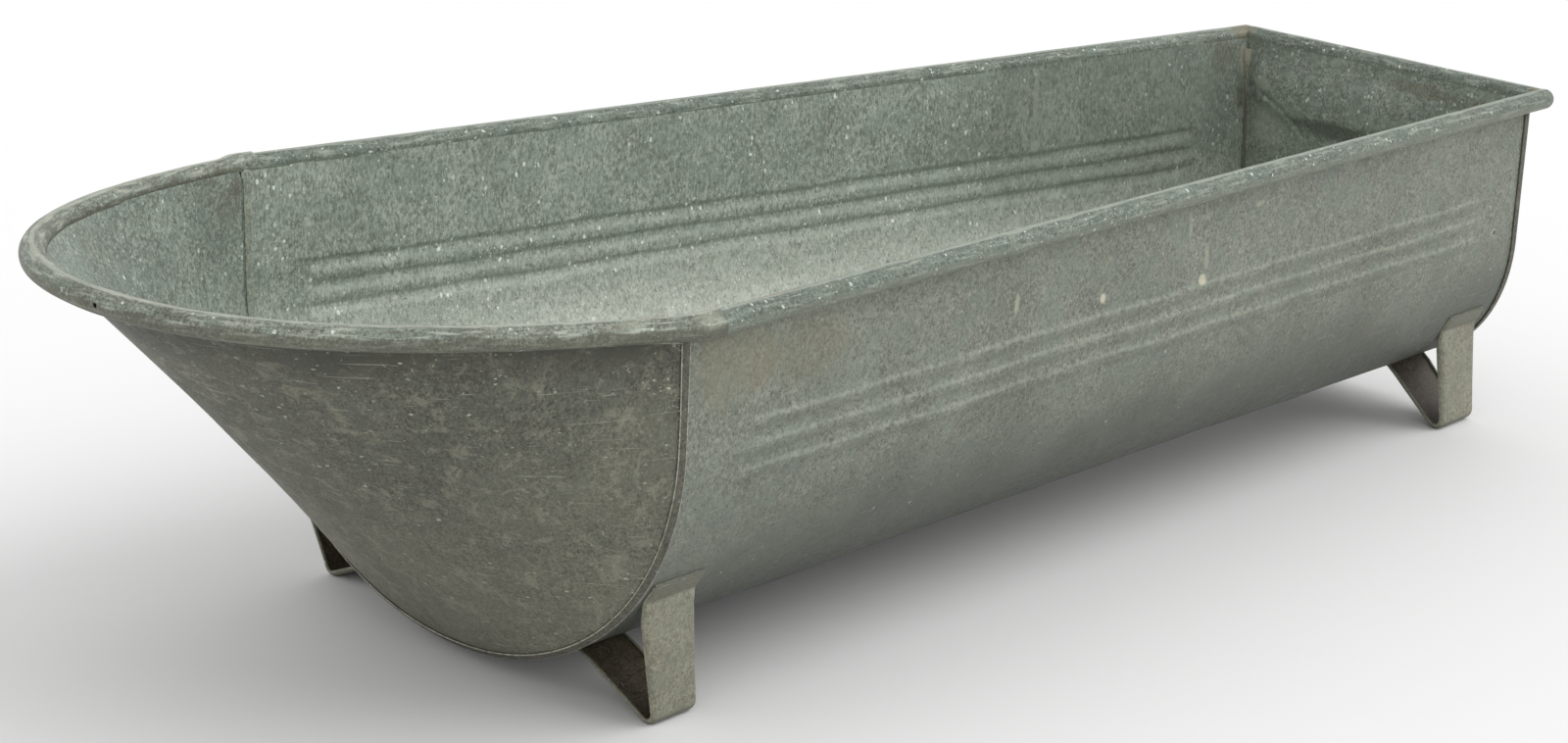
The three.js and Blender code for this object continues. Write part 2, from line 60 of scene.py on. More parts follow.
SCOOP_SECTION = {
    "half_width": 350, "rim_top": 440, "wall_foot": 311.6, "flat_half": 2, "floor": 17.8,
}
SQUARE_SECTION = {
    "half_width": 212, "rim_top": 416, "wall_foot": 235, "flat_half": 76.5, "floor": 69.2,
}
WALL_LEAN = 1.5
WALL_SHARE = 0.35
BEND_SHARE = 0.5
BEND_END = WALL_SHARE + BEND_SHARE

ROLL_RADIUS = 12
ROLL_OFFSET = ROLL_RADIUS + GAP
ROLL_START = -135
ROLL_END = 180
SCOOP_RISE = 21.4
SCOOP_TURN = 26.6
LAP_LENGTH = 22
LAP_SWELL = 1.9
DRAIN_RADIUS = 2.5
DRAIN_SHARE = 0.957

BEAD_COUNT = 3
BEAD_HEIGHT = 2.2
BEAD_ABOVE = 6
BEAD_BELOW = 16
BEAD_START = 50
BEAD_END = BODY_LENGTH - 65
BEAD_FADE = 50
BEADS_AT_SCOOP = (318, 24)
BEADS_AT_SQUARE = (293, 22.5)
PUNCH_FROM_SEAM = 1395
PUNCH_HEIGHT = 248
PUNCH_RADIUS = 3.2

STRAP = 3
STRAP_BEND = 12
STRAP_CORNER = 6.5
EDGE_TURN = {"shell": 0.2, "outer_leg": 6, "bend": 3}
LEG_STATION = 0.2
FOOT_PAIRS = {
    "scoop": {
        "flange": {"edges": (6, 75), "top": 0.52, "foot": 0.545},
        "tab": {"edges": (39, 100), "top": 0.709, "end": 0.752},
        "bend_inset": 94,
    },
    "square": {
        "flange": {"edges": (1343, 1415), "top": 0.525, "foot": 0.567},
        "tab": {"edges": (1364, 1434), "top": 0.81, "end": 0.845},
        "bend_inset": 49,
    },
}

# ---- dimensions of the finer meshes -------------------------------------------------------

# Mesh attributes that the materials read, and the size of a streak along a rolled rim.
BEAD_LIGHT_AND_WEAR = "bead_light_and_wear"
RIM_PLACE = "rim_place"
STREAK_LENGTH = 38
STREAK_WIDTH = 4

# Rolled rims: the roll's outer radius, how far its inner side reaches past the wall or the
# end panel, and how far it runs down there.
ROLL_SKIN = ROLL_RADIUS - 0.25
WALL_OVERLAP = 2.4
INSIDE_WALL = ROLL_OFFSET + SHEET + 0.15
INSIDE_PANEL = ROLL_OFFSET - GAP + 0.15

# Scoop rim: where the crack beside its roll ends, from the seam, and how far its lip
# reaches down the sheet at each column of points.
CRACK_END = -150
LIP_REACH = (21, 20, 17, 13)

# Crease of the square end: its upper corner, its turn and its foot, as (y, z).
PANEL_CREASE = (197, 348), (145, 324), (113, 293)

# Corners of a rounded bar that lie on its outer edges.
OUTER_CORNERS = (4, 5, 6, 8, 9, 10)

# Strap feet: rows of points on the flange, outer leg, bend, return leg and tab, cells over
# the strap's width. The width changes over the outer leg.
FLANGE_ROWS = 8
OUTER_LEG_ROWS = 30
BEND_ROWS = 20
RETURN_LEG_ROWS = 34
TAB_ROWS = 7
STRAP_CELLS = 24

# ---- small helpers ------------------------------------------------------------------------


def lerp(a, b, share):
    return a + (b - a) * share


def smoothstep(value):
    value = np.clip(value, 0, 1)
    return value * value * (3 - 2 * value)


def unit(vectors):
    return vectors / np.linalg.norm(vectors, axis=-1, keepdims=True)


def points(x, y, z):
    return np.stack(np.broadcast_arrays(x, y, z), -1).astype(float)


def ripples(place, seed, wavelength, count=14):
    """A smooth random field over points, about -1.5 to 1.5, that repeats exactly each run."""
    random = np.random.default_rng(seed)
    directions = unit(random.normal(size=(count, 3)))
    waves = 2 * math.pi / (wavelength * random.uniform(0.7, 1.6, count))
    phases = random.uniform(0, 2 * math.pi, count)
    return np.sin(place @ (directions * waves[:, None]).T + phases).sum(-1) * math.sqrt(1 / count)


def across(half):
    """Section parameters and sides from the left rim under the floor to the right rim."""
    t = np.concatenate([half, half[-2::-1]])
    side = np.concatenate([np.full(len(half), LEFT), np.full(len(half) - 1, RIGHT)])
    return t, side


# ---- shape of the shell -------------------------------------------------------------------


def end_section(section, t):
    top = section["rim_top"] - ROLL_RADIUS
    lean = math.tan(math.radians(WALL_LEAN))
    foot_width = section["half_width"] - (top - section["wall_foot"]) * lean
    wall_z = lerp(top, section["wall_foot"], t / WALL_SHARE)
    turn = np.clip((t - WALL_SHARE) / BEND_SHARE, 0, 1) * math.pi / 2
    flat = np.clip((t - BEND_END) / (1 - BEND_END), 0, 1)
    bend_y = lerp(section["flat_half"], foot_width, np.cos(turn)) - section["flat_half"] * flat
    bend_z = lerp(section["wall_foot"], section["floor"], np.sin(turn))
    on_wall = t < WALL_SHARE
    wall_y = section["half_width"] - (top - wall_z) * lean
    return np.where(on_wall, wall_y, bend_y), np.where(on_wall, wall_z, bend_z)


def body_section(along, t):
    share = along / BODY_LENGTH
    (y0, z0), (y1, z1) = end_section(SCOOP_SECTION, t), end_section(SQUARE_SECTION, t)
    return lerp(y0, y1, share), lerp(z0, z1, share)


def section_slope(along, t, step=1e-3):
    """Unit direction down the section, in its own plane."""
    y0, z0 = body_section(along, np.maximum(0, t - step))
    y1, z1 = body_section(along, np.minimum(1, t + step))
    size = np.hypot(y1 - y0, z1 - z0)
    return (y1 - y0) / size, (z1 - z0) / size


def body_point(along, t, side, out=0.0, down=0.0):
    """The smooth shell, moved out along its normal and down along the section."""
    y, z = body_section(along, t)
    slope_y, slope_z = section_slope(along, t)
    y = y - out * slope_z + down * slope_y
    z = z + out * slope_y + down * slope_z
    return points(SEAM_X + along, side * y, z)


def bead_centre(bead, along):
    """Height of a bead's crest, which wanders a little."""
    (top0, pitch0), (top1, pitch1) = BEADS_AT_SCOOP, BEADS_AT_SQUARE
    centre = lerp(top0 - bead * pitch0, top1 - bead * pitch1, along / BODY_LENGTH)
    return centre + 1.2 * np.sin(along / 97 + 2 * bead) * np.sin(along / 41 + bead)


def bead_relief(along, height):
    run = np.minimum(along - BEAD_START, BEAD_END - along) / BEAD_FADE
    relief = 0.0
    for bead in range(BEAD_COUNT):
        rise = height - bead_centre(bead, along)
        away = np.clip(np.where(rise > 0, rise / BEAD_ABOVE, -rise / BEAD_BELOW), 0, 1)
        strength = lerp(1.0, 0.72, along / BODY_LENGTH) * (1 + 0.15 * np.sin(along / 63 + bead))
        relief = relief + strength * 0.5 * BEAD_HEIGHT * (1 + np.cos(math.pi * away))
    return smoothstep(run) * relief


def bead_light_and_wear(along, height):
    """1 on the crest of each bead, where it is rubbed and the materials also paint a highlight, and down
    to -1 on its long flank, where they paint shade. Inside, where the beads are grooves, the crest
    is painted in shade and the flank in light.
    """
    light_and_wear = 0.0
    for bead in range(BEAD_COUNT):
        rise = height - bead_centre(bead, along)
        crest = np.exp(-(((rise - 1.0) / 2.4) ** 2))
        flank = np.exp(-(((rise + 9.0) / 4.0) ** 2))
        light_and_wear = light_and_wear + crest - flank
    run = np.minimum(along - BEAD_START, BEAD_END - along) / BEAD_FADE
    return smoothstep(run) * np.clip(light_and_wear, -1, 1)


def body_dents(place, along, t):
    """Waves of an old, knocked sheet, which die out towards its rims and seams."""
    inland = smoothstep(along / 130) * smoothstep((BODY_LENGTH - along) / 130)
    inland = inland * smoothstep((t - 0.01) / 0.12)
    return inland * (0.9 * ripples(place, 11, 260) + 0.3 * ripples(place, 12, 85))


def body_surface(along, t, side, out=0.0, down=0.0):
    """The real shell: the smooth one with its beads and dents."""
    base = body_point(along, t, side)
    relief = bead_relief(along, base[..., 2]) + body_dents(base, along, t)
    return body_point(along, t, side, out + relief, down)


def scoop_rim(t, side, margin=0.0):
    width = SCOOP_SECTION["half_width"] + margin
    length = SCOOP_LENGTH + margin
    lead = 0.1 * length
    turn = math.radians(SCOOP_TURN)
    corners = [
        (0, width),
        (-lead * math.cos(turn), width - lead * math.sin(turn)),
        (-length, 0.8 * width),
        (-length, 0),
    ]
    shares = [(1 - t) ** 3, 3 * t * (1 - t) ** 2, 3 * t * t * (1 - t), t**3]
    x = sum(share * corner[0] for share, corner in zip(shares, corners))
    y = sum(share * corner[1] for share, corner in zip(shares, corners))
    height = SCOOP_SECTION["rim_top"] - ROLL_RADIUS + SCOOP_RISE * -x / length
    return points(SEAM_X + x, side * y, height)


# ---- meshes -------------------------------------------------------------------------------


def quads(grid):
    corners = [grid[:-1, :-1], grid[1:, :-1], grid[1:, 1:], grid[:-1, 1:]]
    return np.stack(corners, -1).reshape(-1, 4)


def between_faces(outer, inner):
    """Points and faces of the solid between two matching grids. Material 0 is on the outer
    face and the edges, material 1 on the inner face."""
    grid = np.arange(outer.shape[0] * outer.shape[1]).reshape(outer.shape[:2])
    behind = grid.size

    def edge(line):
        return np.stack([line[:-1], line[:-1] + behind, line[1:] + behind, line[1:]], -1)

    edges = [edge(grid[:, 0]), edge(grid[:, -1])[:, ::-1], edge(grid[0])[:, ::-1], edge(grid[-1])]
    front, back = quads(grid), quads(grid + behind)[:, ::-1]
    faces = np.concatenate([front, *edges, back])
    material = np.zeros(len(faces), int)
    material[-len(back):] = 1
    return np.concatenate([outer.reshape(-1, 3), inner.reshape(-1, 3)]), faces.tolist(), material


def swept(rings, worn=()):
    """Points and faces of a closed ring swept along stations, with a flat face at each end.
    The strips that start at the worn corners get material 1."""
    stations, corners = rings.shape[:2]
    grid = np.arange(stations * corners).reshape(stations, corners)
    faces = quads(np.concatenate([grid, grid[:, :1]], 1)).tolist()
    faces += [grid[0].tolist(), grid[-1][::-1].tolist()]
    material = np.zeros(len(faces), int)
    material[:-2] = np.isin(np.arange(len(faces) - 2) % corners, worn)
    return rings.reshape(-1, 3), faces, material


def volume(place, faces):
    fans = [(f[0], f[i], f[i + 1]) for f in faces for i in range(1, len(f) - 1)]
    a, b, c = (place[list(corner)] for corner in zip(*fans))
    return np.einsum("ij,ij->i", a, np.cross(b, c)).sum()


def drill(piece, centre, direction, radius, depth):
    """Cuts a round hole through a piece, with its edges a little ragged."""
    cutter_mesh = bpy.data.meshes.new("drill")
    tool = bmesh.new()
    bmesh.ops.create_cone(
        tool, cap_ends=True, segments=20, radius1=radius * MM, radius2=radius * MM, depth=depth * MM
    )
    for corner in tool.verts:
        corner.co.x *= 1 + 0.06 * math.sin(3 * math.atan2(corner.co.y, corner.co.x))
    turn = Vector(direction).to_track_quat("Z", "Y").to_matrix().to_4x4()
    tool.transform(Matrix.Translation(Vector(centre) * MM) @ turn)
    tool.to_mesh(cutter_mesh)
    tool.free()
    cutter = bpy.data.objects.new("drill", cutter_mesh)
    bpy.context.scene.collection.objects.link(cutter)
    cut = piece.modifiers.new("hole", "BOOLEAN")
    cut.object = cutter
    cut.operation = "DIFFERENCE"
    cut.solver = "MANIFOLD"
    graph = bpy.context.evaluated_depsgraph_get()
    drilled = bpy.data.meshes.new_from_object(piece.evaluated_get(graph))
    piece.modifiers.remove(cut)
    piece.data = drilled
    bpy.data.objects.remove(cutter)
    finish_shading(piece)


def finish_shading(piece, sharp=38):
    piece.data.shade_smooth()
    piece.data.set_sharp_from_angle(angle=math.radians(sharp))


def make_piece(node, solid, slot, *materials):
    """A piece that stands for a CAD node, from points in millimetres."""
    place, faces, material = solid
    if volume(place, faces) < 0:
        faces = [face[::-1] for face in faces]
    name = "worn_" + node
    mesh = bpy.data.meshes.new(name)
    mesh.from_pydata((place * MM).tolist(), [], faces)
    for look in materials:
        mesh.materials.append(look)
    index = np.minimum(material, len(materials) - 1).astype(np.int32)
    mesh.polygons.foreach_set("material_index", index)
    piece = bpy.data.objects.new(name, mesh)
    bpy.context.scene.collection.objects.link(piece)
    finish_shading(piece)
    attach(piece, "root")
    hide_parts(node)
    return piece


# ---- materials ----------------------------------------------------------------------------


def tone(red, green, blue):
    """Linear colour from an 8-bit display colour."""
    linear = [((c / 255 + 0.055) / 1.055) ** 2.4 for c in (red, green, blue)]
    return (*linear, 1.0)


class Look:
    """A material's node tree, with one short call for each kind of node."""

    def __init__(self, name):
        self.material = bpy.data.materials.new(name)
        self.material.use_nodes = True
        self.tree = self.material.node_tree
        self.tree.nodes.clear()
        self.place = self.node("ShaderNodeTexCoord").outputs["Object"]
        self.ragged_place = self.ragged(160, 5 * MM)

    def node(self, kind, **settings):
        made = self.tree.nodes.new(kind)
        for key, value in settings.items():
            setattr(made, key, value)
        return made

    def feed(self, socket, value):
        if isinstance(value, bpy.types.NodeSocket):
            self.tree.links.new(value, socket)
        else:
            socket.default_value = value

    def math(self, operation, a, b=0.0, clamp=False):
        made = self.node("ShaderNodeMath", operation=operation, use_clamp=clamp)
        self.feed(made.inputs[0], a)
        self.feed(made.inputs[1], b)
        return made.outputs[0]

    def times(self, a, b):
        return self.math("MULTIPLY", a, b)

    def plus(self, a, b, clamp=False):
        return self.math("ADD", a, b, clamp)

    def vector(self, operation, a, b=(0.0, 0.0, 0.0), scale=None):
        made = self.node("ShaderNodeVectorMath", operation=operation)
        self.feed(made.inputs[0], a)
        self.feed(made.inputs[1], b)
        if scale is not None:
            made.inputs["Scale"].default_value = scale
        return made.outputs["Value" if operation == "LENGTH" else "Vector"]

    def texture(self, kind, place, **settings):
        """A node that works on a place, with its settings named as its inputs are."""
        made = self.node(kind)
        self.feed(made.inputs["Vector"], place)
        for key, value in settings.items():
            made.inputs[key].default_value = value
        return made

    def ragged(self, scale, size):
        """The place, pushed about by a noise."""
        noise = self.texture("ShaderNodeTexNoise", self.place, Scale=scale, Detail=2)
        centred = self.vector("SUBTRACT", noise.outputs["Color"], (0.5, 0.5, 0.5))
        return self.vector("ADD", self.place, self.vector("SCALE", centred, scale=size))

    def attribute(self, name):
        return self.node("ShaderNodeAttribute", attribute_name=name).outputs["Fac"]

    def streaks(self):
        """Streaks along a rolled rim, from the distance along it and round it."""
        place = self.node("ShaderNodeAttribute", attribute_name=RIM_PLACE).outputs["Vector"]
        made = self.texture("ShaderNodeTexNoise", place, Scale=1.0, Detail=5, Roughness=0.6)
        return made.outputs[0]

    def stretched(self, stretch, offset=(0, 0, 0), turn=(0, 0, 0), place=None):
        place = place or self.place
        made = self.texture(
            "ShaderNodeMapping", place, Location=offset, Rotation=turn, Scale=stretch
        )
        return made.outputs[0]

    def noise(
        self, scale, detail=3.0, rough=0.55, stretch=(1, 1, 1), turn=(0, 0, 0), offset=(0, 0, 0),
        warp=0.0,
    ):
        made = self.texture(
            "ShaderNodeTexNoise", self.stretched(stretch, offset, turn),
            Scale=scale, Detail=detail, Roughness=rough, Distortion=warp,
        )
        return made.outputs[0]

    def cells(self, scale, stretch=(1, 1, 1), randomness=1.0, offset=(0, 0, 0)):
        """Distance to a cell's centre, and a random number for each cell."""
        place = self.stretched(stretch, offset, place=self.ragged_place)
        made = self.texture("ShaderNodeTexVoronoi", place, Scale=scale, Randomness=randomness)
        split = self.node("ShaderNodeSeparateColor")
        self.feed(split.inputs[0], made.outputs["Color"])
        return made.outputs["Distance"], split.outputs[0]

    def speckle(self, scale, size, share, stretch, offset):
        """Small round spots in a share of the cells of a random grid."""
        distance, number = self.cells(scale, stretch, offset=offset)
        radius = self.ramp(number, 1 - share, 1.0, 0.0, size)
        return self.ramp(self.math("SUBTRACT", radius, distance), -0.02, 0.05)

    def ramp(self, value, low, high, to_low=0.0, to_high=1.0):
        """Smooth step of a value from to_low, at low, to to_high, at high."""
        made = self.node("ShaderNodeMapRange", interpolation_type="SMOOTHSTEP")
        limits = {"From Min": low, "From Max": high, "To Min": to_low, "To Max": to_high}
        for key, number in limits.items():
            made.inputs[key].default_value = number
        self.feed(made.inputs["Value"], value)
        return made.outputs[0]

    def mix(self, share, a, b):
        made = self.node("ShaderNodeMix", data_type="RGBA")
        self.feed(made.inputs[0], share)
        self.feed(made.inputs[6], a)
        self.feed(made.inputs[7], b)
        return made.outputs[2]

    def patch(self, centre, size, soft=0.5, ragged=0.35, scale=60):
        """A ragged spot round a point in millimetres: 1 inside and 0 outside."""
        moved = self.vector("SUBTRACT", self.place, [c * MM for c in centre])
        away = self.vector("LENGTH", self.vector("DIVIDE", moved, [s * MM for s in size]))
        edge = self.times(self.math("SUBTRACT", self.noise(scale, 4), 0.5), 2 * ragged)
        return self.ramp(self.plus(away, edge), 1 - soft, 1, 1.0, 0.0)

    def facing_up(self):
        """The height part of the surface normal, in the object's own frame."""
        return self.upward(self.node("ShaderNodeTexCoord").outputs["Normal"])

    def height(self):
        return self.upward(self.place)

    def upward(self, vector):
        split = self.node("ShaderNodeSeparateXYZ")
        self.feed(split.inputs[0], vector)
        return split.outputs[2]

    def finish(self, colour, roughness, metal, relief, depth):
        shader = self.node("ShaderNodeBsdfPrincipled")
        self.feed(shader.inputs["Base Color"], colour)
        self.feed(shader.inputs["Roughness"], roughness)
        self.feed(shader.inputs["Metallic"], metal)
        bump = self.node("ShaderNodeBump")
        bump.inputs["Strength"].default_value = 1.0
        bump.inputs["Distance"].default_value = depth * MM
        self.feed(bump.inputs["Height"], relief)
        self.feed(shader.inputs["Normal"], bump.outputs[0])
        self.feed(self.node("ShaderNodeOutputMaterial").inputs[0], shader.outputs[0])
        return self.material


def zinc(
    name, dark, light, tint, contrast=1.0, flecks=0.5, fleck_size=0.2, fleck_tone=(200, 208, 198),
    fleck_scale=100, fleck_stretch=(1, 1, 0.7), dirt=0.4, dirt_tone=(92, 86, 68), marks=(), bands=(),
    rim=None, beads=None, under=None, grain_height=0.7, scratches=0.0, bloom=0.0,
    bloom_tone=None, metal=0.25, seed=0.0,
):
    """Weathered hot-dip galvanising: grain, mottle, pale oxide flecks, bloom and brown dirt.

    marks are (centre, size, colour, strength) spots in millimetres. bands are
    (from height, to height, colour, strength) changes with height. rim adds pale and dull
    streaks along a rolled edge, a paler crown that is partly rubbed zinc and partly painted
    highlight, and a tone of its own on the roll's sides and underside. beads adds the painted
    highlight and painted shade of the swage beads, with their rubbed crests. under is painted
    shade: a darker tone on faces that look down."""
    look = Look(name)
    drift = (seed, seed * 0.7, seed * 1.3)
    broad = look.noise(9, 5, 0.65, offset=drift, warp=0.3)
    mottle = look.noise(140, 5, 0.75, stretch=(1, 1, 0.85), offset=drift)
    grain = look.noise(400, 3, 0.75, stretch=(1, 1, grain_height), offset=drift)

    level = look.times(broad, 0.16)
    level = look.plus(level, look.times(mottle, 0.34))
    level = look.plus(level, look.times(grain, 0.50))
    spread = 0.12 / contrast
    colour = look.mix(look.ramp(level, 0.5 - spread, 0.5 + spread), tone(*dark), tone(*light))
    cool = look.ramp(look.noise(26, 6, 0.75, offset=(3.1 + seed, 0, 0)), 0.45, 0.58)
    colour = look.mix(look.times(cool, 0.38), colour, tone(*tint))

    if bloom:
        cloud = look.ramp(look.noise(42, 7, 0.8, offset=(0, 2.3, seed), warp=0.5), 0.52, 0.60)
        colour = look.mix(look.times(cloud, bloom), colour, tone(*(bloom_tone or light)))
    for low, high, shade, strength in bands:
        wander = look.times(look.math("SUBTRACT", broad, 0.5), 90 * MM)
        height = look.plus(look.height(), wander)
        share = look.ramp(height, low * MM, high * MM, 0.0, strength)
        share = look.times(share, look.ramp(level, 0.44, 0.56, 0.62, 1.0))
        colour = look.mix(share, colour, tone(*shade))
    # Painted highlight, with rubbed zinc, on the bead crests and painted shade on their flanks; the inside
    # material turns this round, with painted shade in the grooves and painted light below them.
    if beads:
        light_and_wear = look.attribute(BEAD_LIGHT_AND_WEAR)
        uneven = look.ramp(mottle, 0.35, 0.6, *beads["crest_share"])
        crest = look.times(look.ramp(light_and_wear, 0.1, 0.9), uneven)
        colour = look.mix(crest, colour, tone(*beads["crest"]))
        flank = look.ramp(light_and_wear, -0.1, -0.9, 0.0, beads["flank_share"])
        colour = look.mix(flank, colour, tone(*beads["flank"]))

    pitted = look.noise(240, 3, 0.7, offset=(seed, 4.1, 0))
    colour = look.mix(look.ramp(pitted, 0.41, 0.32, 0.0, 0.6), colour, tone(*[c * 0.7 for c in dark]))
    where = look.ramp(look.noise(14, 4, 0.7, offset=(0, 5.3 + seed, 0)), 0.42, 0.58, 0.2, 1.0)
    specks = look.speckle(fleck_scale, fleck_size, 0.55 * flecks, fleck_stretch, (seed, 0, 2.2))
    fine = look.speckle(
        2.2 * fleck_scale, fleck_size * 1.1, 0.55 * flecks, fleck_stretch, (seed, 1.9, 0)
    )
    both = look.math("MAXIMUM", specks, look.times(fine, 0.75))
    fleck = look.times(both, where)
    colour = look.mix(look.times(fleck, 0.9), colour, tone(*fleck_tone))

    grime = look.ramp(look.noise(13, 7, 0.78, offset=(1.7, seed, 0.4), warp=0.6), 0.50, 0.66)
    stain = look.ramp(look.noise(75, 5, 0.75, offset=(0, 0, 7 + seed)), 0.52, 0.66)
    grime, stain = look.times(grime, 0.6), look.times(stain, 0.45)
    grime = look.plus(grime, stain, clamp=True)
    colour = look.mix(look.times(grime, dirt), colour, tone(*dirt_tone))

    if scratches:
        lines = look.noise(55, 2, 0.5, stretch=(0.3, 0.3, 9), turn=(0.5, 0.3, 0), offset=drift, warp=0.6)
        more = look.noise(60, 2, 0.5, stretch=(0.4, 6, 2.5), turn=(0.35, -0.5, 0.2), offset=drift)
        scratch = look.math("MAXIMUM", look.ramp(lines, 0.68, 0.71), look.ramp(more, 0.70, 0.73))
        colour = look.mix(look.times(scratch, scratches), colour, tone(*fleck_tone))
    # Painted shade: faces that look down are darkened towards the under tone.
    if under:
        below = look.ramp(look.facing_up(), -0.25, -0.5, 0.0, under["strength"])
        colour = look.mix(below, colour, tone(*under["tone"]))
    if rim:
        streak = look.streaks()
        pale = look.times(look.ramp(streak, 0.52, 0.64), rim["streak_strength"])
        colour = look.mix(pale, colour, tone(*rim["top"]))
        dull = look.times(look.ramp(streak, 0.47, 0.36), rim["streak_strength"])
        colour = look.mix(dull, colour, tone(*rim["dull"]))
        wobble = look.times(look.math("SUBTRACT", streak, 0.5), 0.9)
        up = look.plus(look.facing_up(), wobble)
        low_side = look.times(look.ramp(up, *rim["low_from"]), rim["low_strength"])
        smooth = look.mix(look.times(grain, 0.6), tone(*rim["low"]), colour)
        colour = look.mix(low_side, colour, smooth)
        # Painted highlight, partly rubbed zinc: where the roll's crown faces straight up it goes towards the
        # pale top tone.
        crown = look.plus(look.facing_up(), look.times(wobble, 0.15))
        crown_sheen_and_rub = look.ramp(crown, 0.955, 0.99)
        colour = look.mix(look.times(crown_sheen_and_rub, 0.5), colour, tone(*rim["top"]))
    for spot, size, shade, strength in marks:
        mask = look.patch(spot, size)
        colour = look.mix(look.times(mask, strength), colour, tone(*shade))

    coarse = look.plus(mottle, look.times(grime, 0.3))
    roughness = look.ramp(coarse, 0.35, 0.9, 0.48, 0.74)
    metallic = look.math("SUBTRACT", metal, look.times(grime, metal * 0.7), clamp=True)
    relief = look.plus(look.times(grain, 0.4), look.times(mottle, 0.8))
    relief = look.plus(relief, look.times(fleck, 0.25))
    return look.finish(colour, roughness, metallic, relief, 0.5)


def on_wall(along, height, side, inside=False):
    """A place on the body's side wall, in millimetres of the row's frame."""
    half = np.linspace(0, BEND_END, 400)
    t = half[np.argmin(np.abs(body_section(along, half)[1] - height))]
    return tuple(body_point(along, t, side, -SHEET if inside else 0.0))


def body_marks():
    pale, chalk, brown = (176, 176, 156), (206, 202, 178), (96, 88, 68)
    return [
        (on_wall(621, 325, RIGHT), (6, 8, 7), chalk, 0.7),
        (on_wall(794, 310, RIGHT), (9, 8, 8), chalk, 0.65),
        (on_wall(766, 375, RIGHT), (4, 8, 22), pale, 0.3),
        (on_wall(800, 334, RIGHT), (6, 8, 18), pale, 0.35),
        (on_wall(896, 376, RIGHT), (12, 8, 4), pale, 0.4),
        (on_wall(477, 350, RIGHT), (5, 8, 14), pale, 0.5),
        (on_wall(60, 380, RIGHT), (70, 30, 60), (120, 112, 88), 0.35),
        (on_wall(160, 372, RIGHT), (90, 30, 45), (118, 110, 88), 0.30),
        (on_wall(PUNCH_FROM_SEAM - 2, PUNCH_HEIGHT, RIGHT), (6, 9, 6), chalk, 0.4),
        (on_wall(1393, 353, RIGHT), (2.5, 8, 2.5), brown, 0.8),
    ]


def inner_marks():
    """Runs and stains inside, with the duller zinc towards the square end."""
    pale, brown = (172, 176, 160), (98, 86, 64)
    return [
        (on_wall(1088, 365, LEFT, True), (5, 8, 48), pale, 0.55),
        (on_wall(1088, 310, LEFT, True), (10, 8, 9), (188, 192, 178), 0.6),
        (on_wall(1280, 385, LEFT, True), (6, 8, 24), pale, 0.5),
        (on_wall(1400, 385, LEFT, True), (30, 12, 30), brown, 0.35),
        (on_wall(1434, 378, LEFT, True), (9, 12, 26), (186, 180, 160), 0.75),
        (on_wall(1200, 340, LEFT, True), (400, 60, 150), (88, 96, 86), 0.36),
        (on_wall(1430, 330, LEFT, True), (7, 12, 20), brown, 0.5),
    ]


def scoop_marks():
    """Pale oxide on the side near the seam, and paler zinc on the far side of the tip."""
    pale = (148, 148, 130)
    return [
        ((SEAM_X - 40, -318, 300), (60, 90, 90), pale, 0.14),
        ((SEAM_X - 120, -262, 260), (90, 90, 70), pale, 0.10),
        ((SEAM_X - 380, 190, 330), (60, 110, 120), (176, 176, 160), 0.35),
    ]


def panel_marks():
    """Brown stains in the upper corners of the square end, paler patches beside its crease, and painted
    shadow under the ridge of its dent.
    """
    end = SEAM_X + BODY_LENGTH - 6
    brown, pale, dark = (98, 84, 60), (170, 173, 158), (66, 70, 62)
    return [
        ((end, -150, 372), (40, 46, 26), brown, 0.32),
        ((end, -60, 385), (40, 60, 12), brown, 0.3),
        # painted shadow under the dent's ridge
        ((end, 50, 310), (40, 100, 15), dark, 0.6),
        ((end, 168, 296), (40, 34, 40), pale, 0.4),
        ((end, 178, 352), (40, 20, 12), pale, 0.35),
    ]


def scoop_inner_marks():
    """The brown stain at the top of the far seam."""
    return [
        ((SEAM_X - 22, 342, 396), (26, 34, 22), (100, 96, 78), 0.35),
        ((SEAM_X - 8, 346, 412), (10, 20, 12), (84, 76, 58), 0.5),
    ]


def solder_marks():
    """Bright solder at the tops of the square end's inside corners."""
    end = SEAM_X + BODY_LENGTH
    bright = (190, 186, 168)
    return [((end, side * 210, 392), (14, 24, 34), bright, 0.4) for side in (LEFT, RIGHT)]


